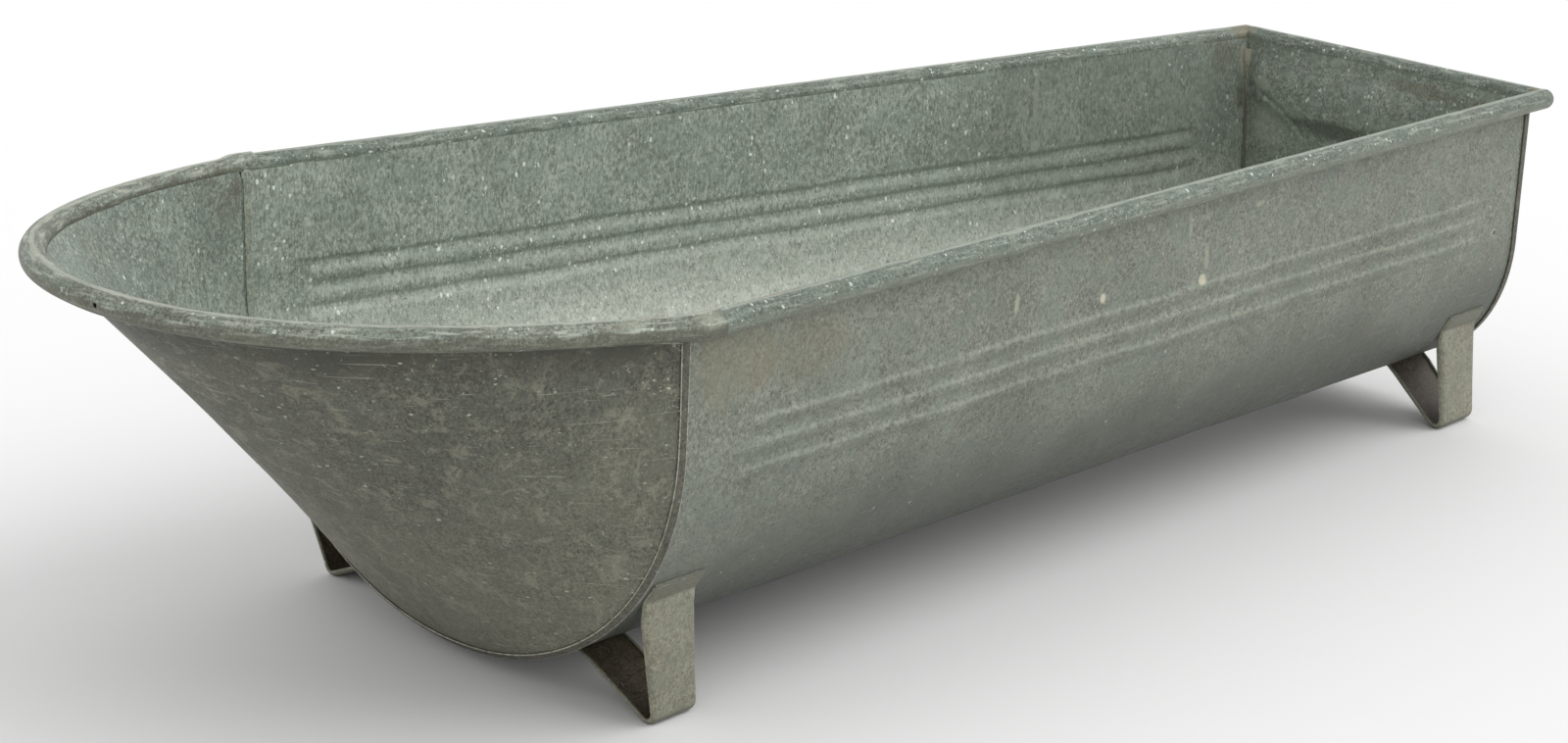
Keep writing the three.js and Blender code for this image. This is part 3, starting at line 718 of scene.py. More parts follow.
def make_looks():
    rim_marks = [
        ((SEAM_X + 252, 357, 440), (9, 11, 6), (112, 160, 92), 0.5),
        ((SEAM_X + 283, 354, 440), (15, 11, 7), (112, 160, 92), 0.7),
        ((SEAM_X + 8, 362, 430), (26, 16, 14), (104, 96, 74), 0.5),
        ((SEAM_X + 1440, 224, 410), (34, 24, 16), (120, 108, 84), 0.5),
        ((SEAM_X + 1440, -214, 414), (46, 5, 8), (132, 108, 78), 0.45),
        ((SEAM_X + 70, -349, 439), (95, 4, 6), (136, 112, 84), 0.45),
    ]
    lap_marks = [
        ((SEAM_X + 4, -366, 434), (20, 16, 12), (166, 168, 150), 0.35),
        ((SEAM_X + 22, -360, 430), (3, 20, 14), (74, 78, 66), 0.8),
        ((SEAM_X - 60, -348, 440), (80, 5, 5), (128, 116, 92), 0.2),
    ]
    # Rim tones; their top tone also paints the highlight on each roll's crown.
    side_rim_wear_and_sheen = {
        "low": (126, 130, 116), "low_strength": 0.6, "low_from": (0.16, -0.10), "top": (168, 175, 161),
        "dull": (84, 92, 83), "streak_strength": 0.4,
    }
    front_rim_wear_and_sheen = {
        "low": (84, 81, 67), "low_strength": 0.85, "low_from": (0.38, 0.04), "top": (176, 180, 166),
        "dull": (88, 86, 71), "streak_strength": 0.6,
    }
    return {
        "body": zinc(
            "zinc_outside", (85, 88, 79), (145, 150, 137), (112, 125, 115), contrast=1.0, scratches=0.14,
            flecks=0.7, fleck_size=0.15, fleck_tone=(172, 179, 165), dirt=0.34, dirt_tone=(100, 97, 79),
            # bands: painted shade, the outside wall darker towards the bottom
            bands=[(280, 80, (52, 53, 48), 0.88)], marks=body_marks(), seed=0.0,
            # painted highlight with rubbed zinc on the bead crests, painted shade on the flanks below
            beads={
                "crest": (158, 165, 151), "crest_share": (0.12, 0.4),
                "flank": (92, 97, 87), "flank_share": 0.25,
            },
        ),
        # The inner faces get paler zinc than the outside: partly their own colour, partly painted light for
        # the light that falls into the trough.
        "body_inside": zinc(
            "zinc_inside", (106, 113, 104), (182, 190, 179), (132, 146, 136), contrast=1.05,
            flecks=1.5, fleck_size=0.22, fleck_tone=(234, 240, 233), dirt=0.28, grain_height=0.4,
            # bands: painted light, paler towards the bottom inside the trough
            dirt_tone=(106, 101, 82), bands=[(310, 130, (212, 216, 204), 0.9)], marks=inner_marks(),
            bloom=0.1, seed=2.0,
            # inside the beads are grooves: painted shade in each groove, painted light on the flank below
            beads={
                "crest": (108, 116, 106), "crest_share": (0.25, 0.5),
                "flank": (190, 196, 184), "flank_share": 0.25,
            },
        ),
        "scoop_inside": zinc(
            "zinc_scoop_inside", (94, 101, 94), (166, 175, 164), (118, 132, 123), contrast=1.2,
            flecks=1.4, fleck_size=0.22, fleck_tone=(224, 232, 223), dirt=0.4,
            dirt_tone=(98, 92, 73), marks=scoop_inner_marks(), seed=3.0,
        ),
        "scoop": zinc(
            "zinc_scoop", (60, 60, 51), (110, 111, 97), (84, 87, 77), contrast=1.1,
            flecks=1.0, fleck_size=0.2, fleck_tone=(178, 180, 162), fleck_stretch=(0.8, 0.7, 1.3),
            dirt=0.3, dirt_tone=(64, 60, 48), scratches=0.35, bloom=0.55, bloom_tone=(134, 134, 117),
            # bands: painted light, paler towards the bottom of the scoop, and painted shadow, darker just
            # under its rim
            bands=[(300, 90, (152, 151, 133), 0.36), (370, 430, (46, 46, 39), 0.78)],
            marks=scoop_marks(), seed=4.0,
        ),
        # The square end's inner face is paler than the outside too: partly its own colour, partly painted
        # light.
        "panel": zinc(
            "zinc_end", (90, 97, 88), (160, 168, 157), (116, 131, 121), contrast=1.1,
            flecks=1.4, fleck_size=0.24, fleck_scale=70, fleck_tone=(206, 213, 203), dirt=0.5,
            dirt_tone=(86, 79, 59), bloom=0.1, marks=panel_marks(), seed=6.0,
        ),
        "rim": zinc(
            "zinc_rim", (68, 76, 68), (132, 141, 130), (90, 105, 96), contrast=1.3,
            flecks=1.9, fleck_size=0.22, fleck_tone=(220, 228, 218), fleck_scale=105, fleck_stretch=(1, 1, 1),
            dirt=0.38, rim=side_rim_wear_and_sheen, marks=rim_marks, bloom=0.3, seed=8.0,
        ),
        "scoop_rim": zinc(
            "zinc_scoop_rim", (74, 80, 71), (146, 153, 140), (102, 115, 105), contrast=1.3,
            flecks=1.5, fleck_size=0.22, fleck_tone=(214, 221, 210), fleck_scale=105, fleck_stretch=(1, 1, 1),
            dirt=0.5, dirt_tone=(84, 78, 62), rim=front_rim_wear_and_sheen, marks=lap_marks, bloom=0.3, seed=9.0,
        ),
        "edge": zinc(
            "zinc_edge", (112, 112, 98), (184, 184, 168), (150, 152, 138), contrast=1.4, dirt=0.6,
            dirt_tone=(78, 74, 60), seed=11.0,
        ),
        "fold": zinc(
            "zinc_fold", (56, 55, 48), (106, 104, 92), (80, 82, 73), contrast=1.2,
            flecks=0.7, fleck_size=0.14, dirt=0.4, dirt_tone=(56, 52, 42), bloom=0.4, seed=10.0,
        ),
        "lap": zinc(
            "zinc_lap", (116, 122, 110), (172, 178, 164), (132, 144, 134), flecks=0.6, dirt=0.3,
            seed=12.0,
        ),
        "strap": zinc(
            "zinc_strap", (102, 101, 86), (156, 156, 138), (122, 128, 115), contrast=0.9,
            flecks=0.4, fleck_size=0.13, dirt=0.5, dirt_tone=(112, 98, 78), scratches=0.1, metal=0.2,
            # painted shade on the strap's faces that look down
            under={"tone": (82, 82, 70), "strength": 0.6}, seed=14.0,
        ),
        "strap_inside": zinc(
            "rust_strap", (42, 36, 28), (98, 88, 71), (74, 70, 57), contrast=1.1,
            flecks=0.4, fleck_size=0.13, dirt=0.6, dirt_tone=(48, 38, 28), metal=0.1, seed=16.0,
        ),
        "solder": zinc(
            "solder", (100, 101, 88), (156, 157, 141), (122, 128, 116),
            flecks=0.4, dirt=0.5, dirt_tone=(82, 76, 60), metal=0.3, marks=solder_marks(),
            bands=[(360, 325, (66, 68, 60), 0.7)], seed=18.0,
        ),
    }


# ---- sheets -------------------------------------------------------------------------------


def wall_stations():
    """Fine over the wall's beads, coarser round the bend, from the rim to the keel."""
    return np.concatenate([
        np.linspace(0.003, 0.14, 10)[:-1],
        np.linspace(0.14, 0.45, 90)[:-1],
        np.linspace(0.45, BEND_END, 30)[:-1],
        np.linspace(BEND_END, 1, 6),
    ])


def body_sheet(looks):
    along = np.linspace(GAP / 2, BODY_LENGTH, 200)[:, None]
    t, side = across(wall_stations())
    outer = body_surface(along, t, side)
    inner = body_surface(along, t, side, -SHEET)
    solid = between_faces(outer, inner)
    piece = make_piece("body_sheet", solid, "galvanised_sheet", looks["body"], looks["body_inside"])
    light_and_wear = bead_light_and_wear(along, body_section(along, t)[1]).ravel()
    layer = piece.data.attributes.new(BEAD_LIGHT_AND_WEAR, "FLOAT", "POINT")
    layer.data.foreach_set("value", np.tile(light_and_wear, 2).astype(np.float32))
    hole = on_wall(PUNCH_FROM_SEAM, PUNCH_HEIGHT, RIGHT)
    drill(piece, hole, (0, 1, 0), PUNCH_RADIUS, 12)


def scoop_frame(t, side):
    """At the seam: its points, and directions away along the scoop and out of its surface."""
    foot = body_point(0, t, side)
    slope_y, slope_z = section_slope(0, t)
    down = points(0, side * slope_y, slope_z)
    ruling = scoop_rim(t, side) - foot
    away = unit(ruling - down * np.sum(ruling * down, -1, keepdims=True))
    normal = unit(np.cross(down, away) * np.asarray(side)[..., None])
    return foot, away, normal


def scoop_sheet(looks):
    half = np.concatenate([np.linspace(0.03, 0.9, 80)[:-1], np.linspace(0.9, 1, 14)])
    t, side = across(half)
    under_roll = 1
    top = 1 - under_roll / (scoop_rim(t, side)[:, 2] - body_section(0, t)[1])
    share = np.linspace(0, 1, 60)[:, None] * top

    def face(inset):
        foot = body_point(0, t, side, -inset)
        foot[:, 0] -= GAP / 2
        return lerp(foot, scoop_rim(t, side, -inset), share[..., None])

    outer, inner = face(0), face(SHEET)
    calm = smoothstep(share / 0.15) * smoothstep((1 - share) / 0.2) * smoothstep(t / 0.3)
    normal = unit(outer - inner)
    dents = (calm * (0.8 * ripples(outer, 21, 230) + 0.3 * ripples(outer, 22, 80)))[..., None]
    solid = between_faces(outer + normal * dents, inner + normal * dents)
    make_piece("scoop_sheet", solid, "dark_sheet", looks["scoop"], looks["scoop_inside"])


def off_line(y, z, start, end):
    """Distance in the end panel from a straight stretch of a crease."""
    along = np.array(end, float) - start
    share = np.clip(((y - start[0]) * along[0] + (z - start[1]) * along[1]) / (along @ along), 0, 1)
    return np.hypot(y - start[0] - share * along[0], z - start[1] - share * along[1])


def panel_dents(y, z):
    """Inward dents of the square end: a ridge from one upper corner across the sheet, steep
    below, and the sharp crease that runs down from it."""
    corner, turn, foot = PANEL_CREASE
    edge = smoothstep((SQUARE_SECTION["half_width"] - np.abs(y)) / 30) * smoothstep((400 - z) / 40)
    edge = edge * smoothstep((z - 75) / 60)
    climb = (corner[1] - turn[1]) / (corner[0] - turn[0])
    ridge = turn[1] + np.where(y > turn[0], climb * (y - turn[0]), 0.05 * (turn[0] - y))
    above = z - ridge
    slope = np.exp(-((above / np.where(above > 0, 60, 16)) ** 2))
    fold = 9 * slope * smoothstep((y + 130) / 150)
    away = np.minimum(off_line(y, z, corner, turn), off_line(y, z, turn, foot))
    crease = 2.4 * np.exp(-((away / 3.2) ** 2))
    hollow = 5 * np.exp(-(((y + 20) / 150) ** 2) - ((z - 250) / 75) ** 2)
    return edge * (fold + hollow - crease + 0.8 * ripples(points(0, y, z), 31, 130))


def square_end_panel(looks):
    t = np.linspace(0.003, BEND_END, 150)[:, None]
    y, z = body_section(BODY_LENGTH, t)
    y, z = np.broadcast_arrays(y * np.linspace(-1, 1, 180), z)
    inner_x = SEAM_X + BODY_LENGTH + GAP - panel_dents(y, z)
    solid = between_faces(points(inner_x + SHEET, y, z), points(inner_x, y, z))
    make_piece("square_end_panel", solid, "galvanised_sheet", looks["body"], looks["panel"])


# ---- rolled rims --------------------------------------------------------------------------


def outwards(path):
    """Horizontal directions square to a path of points."""
    tangent = np.gradient(path, axis=0)
    return unit(points(tangent[:, 1], -tangent[:, 0], 0))


def rolled(centre, out, radius, inner_reach=None):
    """The two faces of a hollow roll. centre and out have a row for each station. Its inner
    side bulges to inner_reach, where it runs down the wall's inner face."""
    angle = np.radians(np.linspace(ROLL_START, ROLL_END, 40))
    size = np.broadcast_to(radius, (len(centre), 1)) + np.zeros(len(angle))
    reach, rise = np.cos(angle), np.sin(angle)
    if inner_reach is not None:
        bulge = smoothstep((angle - math.pi / 2) / (math.pi / 2))
        size = size + (inner_reach - size) * bulge

    def face(inset):
        side_reach, up = (size - inset) * reach, (size - inset) * rise
        if inner_reach is not None:
            tail = np.broadcast_to(-inner_reach + inset, (len(centre), 2))
            side_reach = np.concatenate([side_reach, tail], 1)
            up = np.concatenate([up, np.broadcast_to([-1.2, -WALL_OVERLAP], tail.shape)], 1)
        return (
            centre[:, None, :] + out[:, None, :] * side_reach[..., None]
            + np.array([0, 0, 1.0]) * up[..., None]
        )

    outer, inner = face(0), face(SHEET)
    knock = 0.12 * ripples(outer, 41, 60)[..., None] * unit(outer - inner)
    return outer + knock, inner + knock


def mark_rim_place(piece, centre, columns):
    """Stores the distance along a rolled rim and round it, in lengths and widths of a streak."""
    steps = np.linalg.norm(np.diff(centre, axis=0), axis=1)
    along = np.concatenate([[0.0], np.cumsum(steps)])[:, None] / STREAK_LENGTH
    ring = math.radians(ROLL_END - ROLL_START) * ROLL_RADIUS / STREAK_WIDTH
    around = np.linspace(0, ring, columns)[None, :]
    place = points(along, around, 0.0).reshape(-1, 3)
    layer = piece.data.attributes.new(RIM_PLACE, "FLOAT_VECTOR", "POINT")
    layer.data.foreach_set("vector", np.tile(place, (2, 1)).ravel().astype(np.float32))


def side_rim_line(share, side):
    (y0, z0), (y1, z1) = (
        (section["half_width"] + ROLL_OFFSET, section["rim_top"] - ROLL_RADIUS)
        for section in (SCOOP_SECTION, SQUARE_SECTION)
    )
    length = BODY_LENGTH + ROLL_OFFSET
    return points(SEAM_X + share * length, side * lerp(y0, y1, share), lerp(z0, z1, share))


def side_rim_roll(hand, side, looks):
    share = np.linspace(0.5 * LAP_LENGTH / BODY_LENGTH, 1, 160)
    centre = side_rim_line(share, side)
    out = outwards(centre) * -side
    outer, inner = rolled(centre, out, ROLL_SKIN, INSIDE_WALL)
    piece = make_piece(f"side_rim_roll_{hand}", between_faces(outer, inner), "rim", looks["rim"])
    mark_rim_place(piece, centre, outer.shape[1])


def rim_end_cap(hand, side, looks):
    """The dome beaten over a side roll's end, with the crack where its sheet closes."""
    end, before = side_rim_line(1.0, side), side_rim_line(0.99, side)
    axis = unit(end - before)
    out = unit(np.array([axis[1], -axis[0], 0])) * -side
    up = np.cross(axis, out) * side
    lift = np.radians(np.linspace(0, 86, 26))[:, None]
    turn = np.radians(np.linspace(0, 360, 49)[:-1])[None, :]
    crack = (turn - math.radians(100)) + 0.35 * np.sin(2.2 * lift)
    groove = 0.9 * np.exp(-((crack * np.cos(lift) / 0.055) ** 2)) * smoothstep((lift - 0.15) / 0.2)
    size = (ROLL_SKIN - groove + 0.12 * np.sin(3 * turn + 4 * lift) * np.sin(lift))[..., None]
    around = out * np.cos(turn)[..., None] + up * np.sin(turn)[..., None]
    rings = end + size * (around * np.cos(lift)[..., None] + axis * np.sin(lift)[..., None])
    base = rings[:1] - axis * 4
    solid = swept(np.concatenate([base, rings]))
    make_piece(f"rim_end_cap_{hand}", solid, "rim", looks["rim"])


def smoothed(path, times):
    for _ in range(times):
        path[1:-1] = (path[:-2] + 2 * path[1:-1] + path[2:]) / 4
    return path


def scoop_rim_path():
    """Centre line of the scoop's rim from one lap's end round the tip to the other's, with
    the seam points that its sheet runs down to, and how far the rim's lip is turned down."""
    t = np.linspace(0.04, 1, 92)
    halves = []
    for side in (LEFT, RIGHT):
        lap = side_rim_line(np.linspace(LAP_LENGTH, 0, 12) / (BODY_LENGTH + ROLL_OFFSET), side)
        centre = np.concatenate([lap, scoop_rim(t, side, ROLL_OFFSET)])
        below = np.concatenate([lap - [0, side * ROLL_OFFSET, 200], body_point(0, t, side)])
        lip = np.concatenate([np.zeros(len(lap)), smoothstep((t - 0.03) / 0.04)])
        halves.append(np.column_stack([centre, below, lip]))
    whole = smoothed(np.concatenate([halves[0], halves[1][-2::-1]]), 6)
    return whole[:, :3], whole[:, 3:6], whole[:, 6]


def rim_lip(path, below, out, turned, outer, inner):
    """Columns that carry a roll's free edge down along the sheet outside it."""
    top = path - out * ROLL_OFFSET
    down = unit(below - top)
    normal = unit(np.cross(np.gradient(path, axis=0), down))
    normal = normal * np.sign(np.sum(normal * out, -1, keepdims=True))
    strength = (0.06 + 0.94 * turned)[:, None]
    columns = []
    for reach in LIP_REACH:
        on_sheet = top + down * reach
        columns.append([
            lerp(start, on_sheet + normal * (base + 0.3), strength)
            for start, base in ((outer[:, 0], SHEET), (inner[:, 0], 0.0))
        ])
        for column in columns[-1]:
            column += down * (0.05 * reach) * (1 - strength)
    faces = [np.stack(column, 1) for column in zip(*columns)]
    return np.concatenate([faces[0], outer], 1), np.concatenate([faces[1], inner], 1)


def scoop_rim_roll(looks):
    path, below, turned = scoop_rim_path()
    out = outwards(path)
    if out[len(out) // 2][0] > 0:
        out = -out
    from_seam = path[:, 0] - SEAM_X
    swell = LAP_SWELL * smoothstep((from_seam + 22) / 22)
    closed = smoothstep((CRACK_END - from_seam) / 60)
    reach = lerp(ROLL_SKIN + swell, INSIDE_WALL, closed)[:, None]
    outer, inner = rolled(path, out, ROLL_SKIN + swell[:, None], reach)
    outer, inner = rim_lip(path, below, out, turned, outer, inner)
    place, faces, material = between_faces(outer, inner)
    rows, columns = outer.shape[:2]
    front = (rows - 1) * (columns - 1)
    material[:front:columns - 1] = 2
    material[front:front + rows - 1] = 2
    piece = make_piece(
        "scoop_rim_roll", (place, faces, material), "rim",
        looks["scoop_rim"], looks["rim"], looks["edge"],
    )
    mark_rim_place(piece, path, columns)
    centre = scoop_rim(np.array([DRAIN_SHARE, DRAIN_SHARE + 0.01]), RIGHT, ROLL_OFFSET)
    across_rim = unit(np.cross(centre[1] - centre[0], [0, 0, 1]))
    if across_rim[0] > 0:
        across_rim = -across_rim
    drill(piece, centre[0] + across_rim * ROLL_RADIUS, across_rim, DRAIN_RADIUS, ROLL_RADIUS)


def square_end_rim_roll(looks):
    reach = SQUARE_SECTION["half_width"] + ROLL_OFFSET - 2
    y = np.linspace(-reach, reach, 60)
    height = SQUARE_SECTION["rim_top"] - ROLL_RADIUS
    centre = points(SEAM_X + BODY_LENGTH + ROLL_OFFSET, y, height)
    centre[:, 2] += 0.4 * np.sin(y / 90)
    tuck = 0.5 * smoothstep((np.abs(y) - reach + 14) / 14)
    out = points(np.ones(len(y)), 0, 0)
    outer, inner = rolled(centre, out, (ROLL_SKIN - tuck - 0.2)[:, None], INSIDE_PANEL)
    piece = make_piece("square_end_rim_roll", between_faces(outer, inner), "rim", looks["rim"])
    mark_rim_place(piece, centre, outer.shape[1])


# ---- seams and solder ---------------------------------------------------------------------


def rounded_bar(width, height, corner=0.6, steps=3):
    """Corners (across, out) of a bar with rounded edges, its base at out = 0."""
    corner = min(corner, 0.49 * height)
    loop = []
    for centre_a, centre_o, start in (
        (width - corner, corner, -90), (width - corner, height - corner, 0),
        (corner, height - corner, 90), (corner, corner, 180),
    ):
        for angle in np.radians(np.linspace(start, start + 90, steps + 1)):
            loop.append((centre_a + corner * math.cos(angle), centre_o + corner * math.sin(angle)))
    return np.array(loop)


def seam_stations():
    return across(np.concatenate([np.linspace(0.03, BEND_END, 90)[:-1], np.linspace(BEND_END, 1, 8)]))


def band_on_body(start, width, base, height, up=1):
    """Rings of a band on the shell, outside it or, where up is -1, inside it."""
    t, side = seam_stations()
    bar = rounded_bar(width, height)
    return body_surface(
        start + bar[None, :, 0], t[:, None], side[:, None], base + up * bar[None, :, 1]
    )


def scoop_seam_fold(looks):
    t, side = seam_stations()
    foot, away, normal = scoop_frame(t, side)
    bar = rounded_bar(8.6, SHEET + 0.5, corner=0.9)
    wander = 0.35 * np.sin(np.arange(len(t)) / 7.0)[:, None, None]
    rings = (
        foot[:, None] + away[:, None] * (bar[None, :, :1] + GAP + wander * (bar[None, :, :1] > 4))
        + normal[:, None] * (bar[None, :, 1:] + 0.3)
    )
    solid = swept(rings, worn=OUTER_CORNERS)
    make_piece("scoop_seam_fold", solid, "dark_sheet", looks["fold"], looks["edge"])


def thin_bands(looks):
    inner_lap = band_on_body(GAP + 1, 8, -SHEET - 0.1, SHEET, up=-1)
    make_piece("scoop_seam_inner_lap", swept(inner_lap), "galvanised_sheet", looks["lap"])
    fold = band_on_body(BODY_LENGTH - 4.5, 9, 0.2, SHEET + 0.2)
    make_piece("square_end_seam_fold", swept(fold), "dark_sheet", looks["fold"])


def square_end_solder_fillet(looks):
    """An uneven run of solder in the inside corner, thicker near the rims."""
    t, side = seam_stations()
    step = np.arange(len(t))
    thick = 2.6 + 0.6 * np.sin(step / 3.1) * np.sin(step / 7.7) + 5.0 * smoothstep((0.13 - t) / 0.1)
    angle = np.radians(np.linspace(0, 90, 9))
    back, out = 1 - np.sin(angle), 1 - np.cos(angle)
    along = BODY_LENGTH - 0.2 - thick[:, None] * back[None, :]
    depth = -SHEET - 0.2 - thick[:, None] * out[None, :]
    corner_along = np.full((len(t), 1), BODY_LENGTH + 0.3)
    corner_depth = np.full((len(t), 1), -SHEET + 0.2)
    along = np.concatenate([along, corner_along], 1)
    depth = np.concatenate([depth, corner_depth], 1)
    rings = body_surface(along, t[:, None], side[:, None], depth)
    make_piece("square_end_solder_fillet", swept(rings), "solder", looks["solder"])


# ---- strap feet ---------------------------------------------------------------------------


def strap_path(pair, share):
    """Middle line of a strap, at a share of its width, as rows of (along, y, z), and the
    depth that its edges turn in at each row."""
    off = GAP + STRAP / 2
    flange, tab = pair["flange"], pair["tab"]
    at_flange, at_tab = lerp(*flange["edges"], share), lerp(*tab["edges"], share)

    def on_shell(along, first, last, count):
        t = np.linspace(first, last, count)
        return body_surface(np.full(count, along), t, 1, off)[:, 1:]

    upper = on_shell(at_flange, flange["top"], flange["foot"], FLANGE_ROWS)
    lower = on_shell(at_tab, tab["top"], tab["end"], TAB_ROWS)
    middle_y = body_section(at_tab, 0)[0] - pair["bend_inset"]
    middle = np.array([middle_y, STRAP_BEND + STRAP / 2 + 0.05])

    def tangent_angle(point):
        reach = point - middle
        slope = math.atan2(reach[1], abs(reach[0]))
        return slope + math.asin(STRAP_BEND / np.hypot(*reach))

    angle = np.linspace(-tangent_angle(upper[-1]), tangent_angle(lower[0]), BEND_ROWS)
    bend = middle - STRAP_BEND * np.stack([np.sin(angle), np.cos(angle)], -1)
    leg_shares = np.linspace(0, 1, OUTER_LEG_ROWS + 2)[1:-1]
    return_shares = np.linspace(0, 1, RETURN_LEG_ROWS + 2)[1:-1]
    outer_leg = lerp(upper[-1], bend[0], leg_shares[:, None])
    return_leg = lerp(bend[-1], lower[0], return_shares[:, None])
    path = np.concatenate([upper, outer_leg, bend, return_leg, lower])
    along = np.concatenate([
        np.full(FLANGE_ROWS, at_flange), lerp(at_flange, at_tab, leg_shares),
        np.full(BEND_ROWS + RETURN_LEG_ROWS + TAB_ROWS, at_tab),
    ])
    shell, outer, bent = EDGE_TURN["shell"], EDGE_TURN["outer_leg"], EDGE_TURN["bend"]
    stations = [0, LEG_STATION, 1]
    depth = np.concatenate([
        np.full(FLANGE_ROWS, shell), np.interp(leg_shares, stations, [shell, outer, bent]),
        np.full(BEND_ROWS, bent), np.interp(1 - return_shares, stations, [shell, bent, bent]),
        np.full(TAB_ROWS, shell),
    ])
    return np.column_stack([along, smoothed(path, 1)]), depth


def channel_section(depth, width):
    """Ring of (share of the width, height off the middle line) of a strap with turned edges:
    its outer face first, then its inner face."""
    low = -STRAP / 2 - depth
    turn = np.linspace(0, math.pi / 2, 6)
    corner = min(STRAP_CORNER, 0.9 * (STRAP + depth))
    inner_corner = max(0.15, min(corner - STRAP, 0.9 * depth))
    flat = np.linspace(0, 1, 9)[1:-1]

    def half(inset, radius, top):
        """From the edge's tip up to the flat of a face, as (across, height) rows."""
        arc = np.stack([inset + radius * (1 - np.cos(turn)), top - radius * (1 - np.sin(turn))], -1)
        return np.concatenate([[[inset, low + 0.5]], arc])

    def face(inset, radius, top):
        left = half(inset, radius, top)
        right = left[::-1] * [-1, 1] + [width, 0]
        middle = np.stack([lerp(left[-1, 0], right[0, 0], flat), np.full(len(flat), top)], -1)
        return np.concatenate([left, middle, right])

    outer, inner = face(0, corner, STRAP / 2), face(STRAP, inner_corner, -STRAP / 2)
    tip = np.array([[width - 0.5, low], [width - STRAP + 0.5, low]])
    other_tip = tip[::-1] * [-1, 1] + [width, 0]
    ring = np.concatenate([outer, tip, inner[::-1], other_tip])
    return ring / [width, 1], len(outer) + 2


def strap_foot(end, pair, hand, side, looks):
    """A strap bent from a shallow channel."""
    _, depth = strap_path(pair, 0.5)
    widths = lerp(
        np.ptp(pair["flange"]["edges"]), np.ptp(pair["tab"]["edges"]),
        np.clip((np.arange(len(depth)) - FLANGE_ROWS) / OUTER_LEG_ROWS, 0, 1),
    )
    sections = [channel_section(d, w) for d, w in zip(depth, widths)]
    ring = np.stack([section for section, _ in sections])
    outer_count = sections[0][1]
    grid = np.linspace(0, 1, STRAP_CELLS + 1)
    paths = np.stack([strap_path(pair, share)[0] for share in grid], 1)
    tangent = unit(np.gradient(paths[..., 1:], axis=0))
    normal = np.stack([-tangent[..., 1], tangent[..., 0]], -1)
    table = np.concatenate([paths, normal], -1)
    rows = np.arange(len(depth))
    rings = np.empty((*ring.shape[:2], 3))
    for column in range(ring.shape[1]):
        share, lift = ring[:, column, 0], ring[:, column, 1]
        cell = np.clip((share * STRAP_CELLS).astype(int), 0, STRAP_CELLS - 1)
        part = (share * STRAP_CELLS - cell)[:, None]
        row = lerp(table[rows, cell], table[rows, cell + 1], part)
        place = row[:, 1:3] + unit(row[:, 3:5]) * lift[:, None]
        rings[:, column] = points(SEAM_X + row[:, 0], side * place[:, 0], place[:, 1])
    place, faces, _ = swept(rings)
    column = np.arange(len(faces) - 2) % rings.shape[1]
    on_inside = (column >= outer_count) & (column < rings.shape[1] - 2)
    material = np.concatenate([on_inside, [False, False]]).astype(int)
    node = f"foot_strap_{end}_{hand}"
    make_piece(node, (place, faces, material), "strap", looks["strap"], looks["strap_inside"])


def strap_solder(node, edges, side, t, away, looks):
    """A thin, uneven bead of solder along a strap's free end."""
    along = lerp(edges[0], edges[1], np.linspace(0.01, 0.99, 60))
    angle = np.radians(np.linspace(0, 90, 7))
    size = 2.2 + 0.45 * np.sin(along / 4.3) + 0.3 * np.sin(along / 1.9)
    down = np.concatenate([[0.0], np.sin(angle)])[None, :] * size[:, None]
    rise = np.concatenate([[0.0], np.cos(angle)])[None, :] * np.minimum(size + 0.6, STRAP)[:, None]
    rings = body_surface(along[:, None], np.full((1, 1), t), side, 0.1 + rise, away * (down - 0.4))
    make_piece(node, swept(rings), "solder", looks["solder"])


# ---- stage --------------------------------------------------------------------------------


def make_camera():
    """The photograph's view: its bearing, tilt and field of view, in the row's frame."""
    yaw, tilt, roll = math.radians(49.0), math.radians(15.8), math.radians(0.9)
    ahead = Vector((math.cos(tilt) * math.cos(yaw), math.cos(tilt) * math.sin(yaw), -math.sin(tilt)))
    right = Vector((math.sin(yaw), -math.cos(yaw), 0))
    up = right.cross(ahead)
    turned_right = right * math.cos(roll) + up * math.sin(roll)
    turned_up = up * math.cos(roll) - right * math.sin(roll)
    data = bpy.data.cameras.new("camera")
    data.sensor_width = 36
    data.lens = 82.16
    data.shift_x, data.shift_y = 0.0999, -0.0711
    data.clip_end = 100
    camera = bpy.data.objects.new("camera", data)
    axes = Matrix((turned_right, turned_up, -ahead)).transposed()
    camera.matrix_world = Matrix.Translation((-2.5648, -2.6144, 1.3499)) @ axes.to_4x4()
    bpy.context.scene.collection.objects.link(camera)
    bpy.context.scene.camera = camera


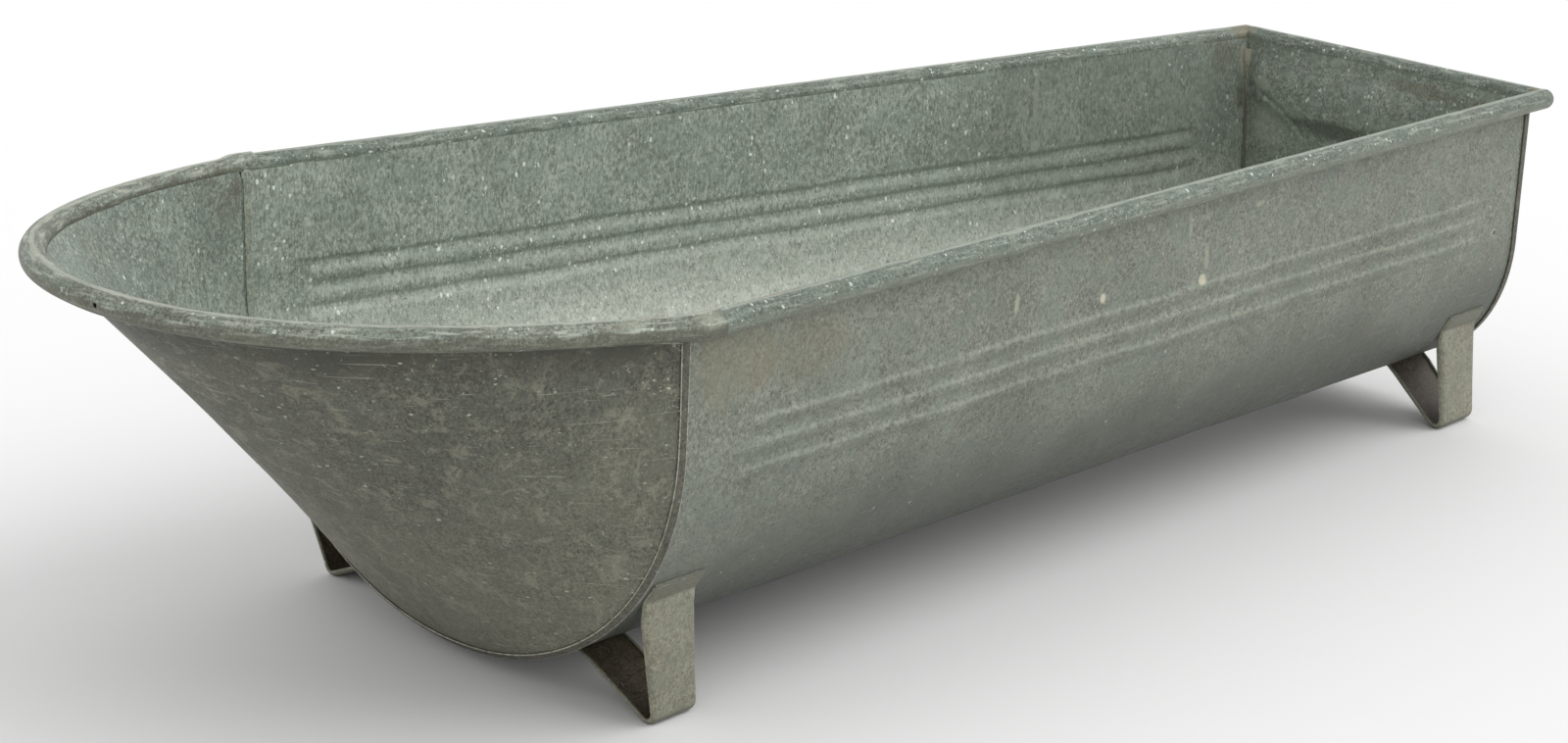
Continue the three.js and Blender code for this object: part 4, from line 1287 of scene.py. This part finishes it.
def make_floor():
    mesh = bpy.data.meshes.new("floor")
    reach = 40
    corners = [(-reach, -reach, 0), (reach, -reach, 0), (reach, reach, 0), (-reach, reach, 0)]
    mesh.from_pydata(corners, [], [(0, 1, 2, 3)])
    material = bpy.data.materials.new("pale_floor")
    material.use_nodes = True
    shader = material.node_tree.nodes["Principled BSDF"]
    shader.inputs["Base Color"].default_value = (0.8, 0.8, 0.8, 1)
    shader.inputs["Roughness"].default_value = 0.9
    shader.inputs["Specular IOR Level"].default_value = 0.1
    mesh.materials.append(material)
    floor = bpy.data.objects.new("floor", mesh)
    bpy.context.scene.collection.objects.link(floor)


def make_light():
    world = bpy.data.worlds.new("studio")
    world.use_nodes = True
    background = world.node_tree.nodes["Background"]
    background.inputs["Color"].default_value = (1, 1, 1, 1)
    background.inputs["Strength"].default_value = 1.0
    bpy.context.scene.world = world
    key = bpy.data.lights.new("key", "SUN")
    key.energy = 1.1
    key.angle = math.radians(50)
    lamp = bpy.data.objects.new("key", key)
    toward_light = Vector((0.45, -0.55, 0.75))
    lamp.rotation_euler = toward_light.to_track_quat("Z", "Y").to_euler()
    bpy.context.scene.collection.objects.link(lamp)
    bpy.context.scene.view_settings.view_transform = "Standard"


# ---- the scene ----------------------------------------------------------------------------


def main():
    make_camera()
    make_floor()
    make_light()
    looks = make_looks()
    body_sheet(looks)
    scoop_sheet(looks)
    square_end_panel(looks)
    scoop_rim_roll(looks)
    square_end_rim_roll(looks)
    scoop_seam_fold(looks)
    thin_bands(looks)
    square_end_solder_fillet(looks)
    for hand, side in SIDES.items():
        side_rim_roll(hand, side, looks)
        rim_end_cap(hand, side, looks)
        for end, pair in FOOT_PAIRS.items():
            strap_foot(end, pair, hand, side, looks)
            foot = f"foot_strap_{end}_{hand}"
            flange, tab = pair["flange"], pair["tab"]
            strap_solder(foot + "_flange_solder", flange["edges"], side, flange["top"], -1, looks)
            strap_solder(foot + "_tab_solder", tab["edges"], side, tab["end"], 1, looks)


main()
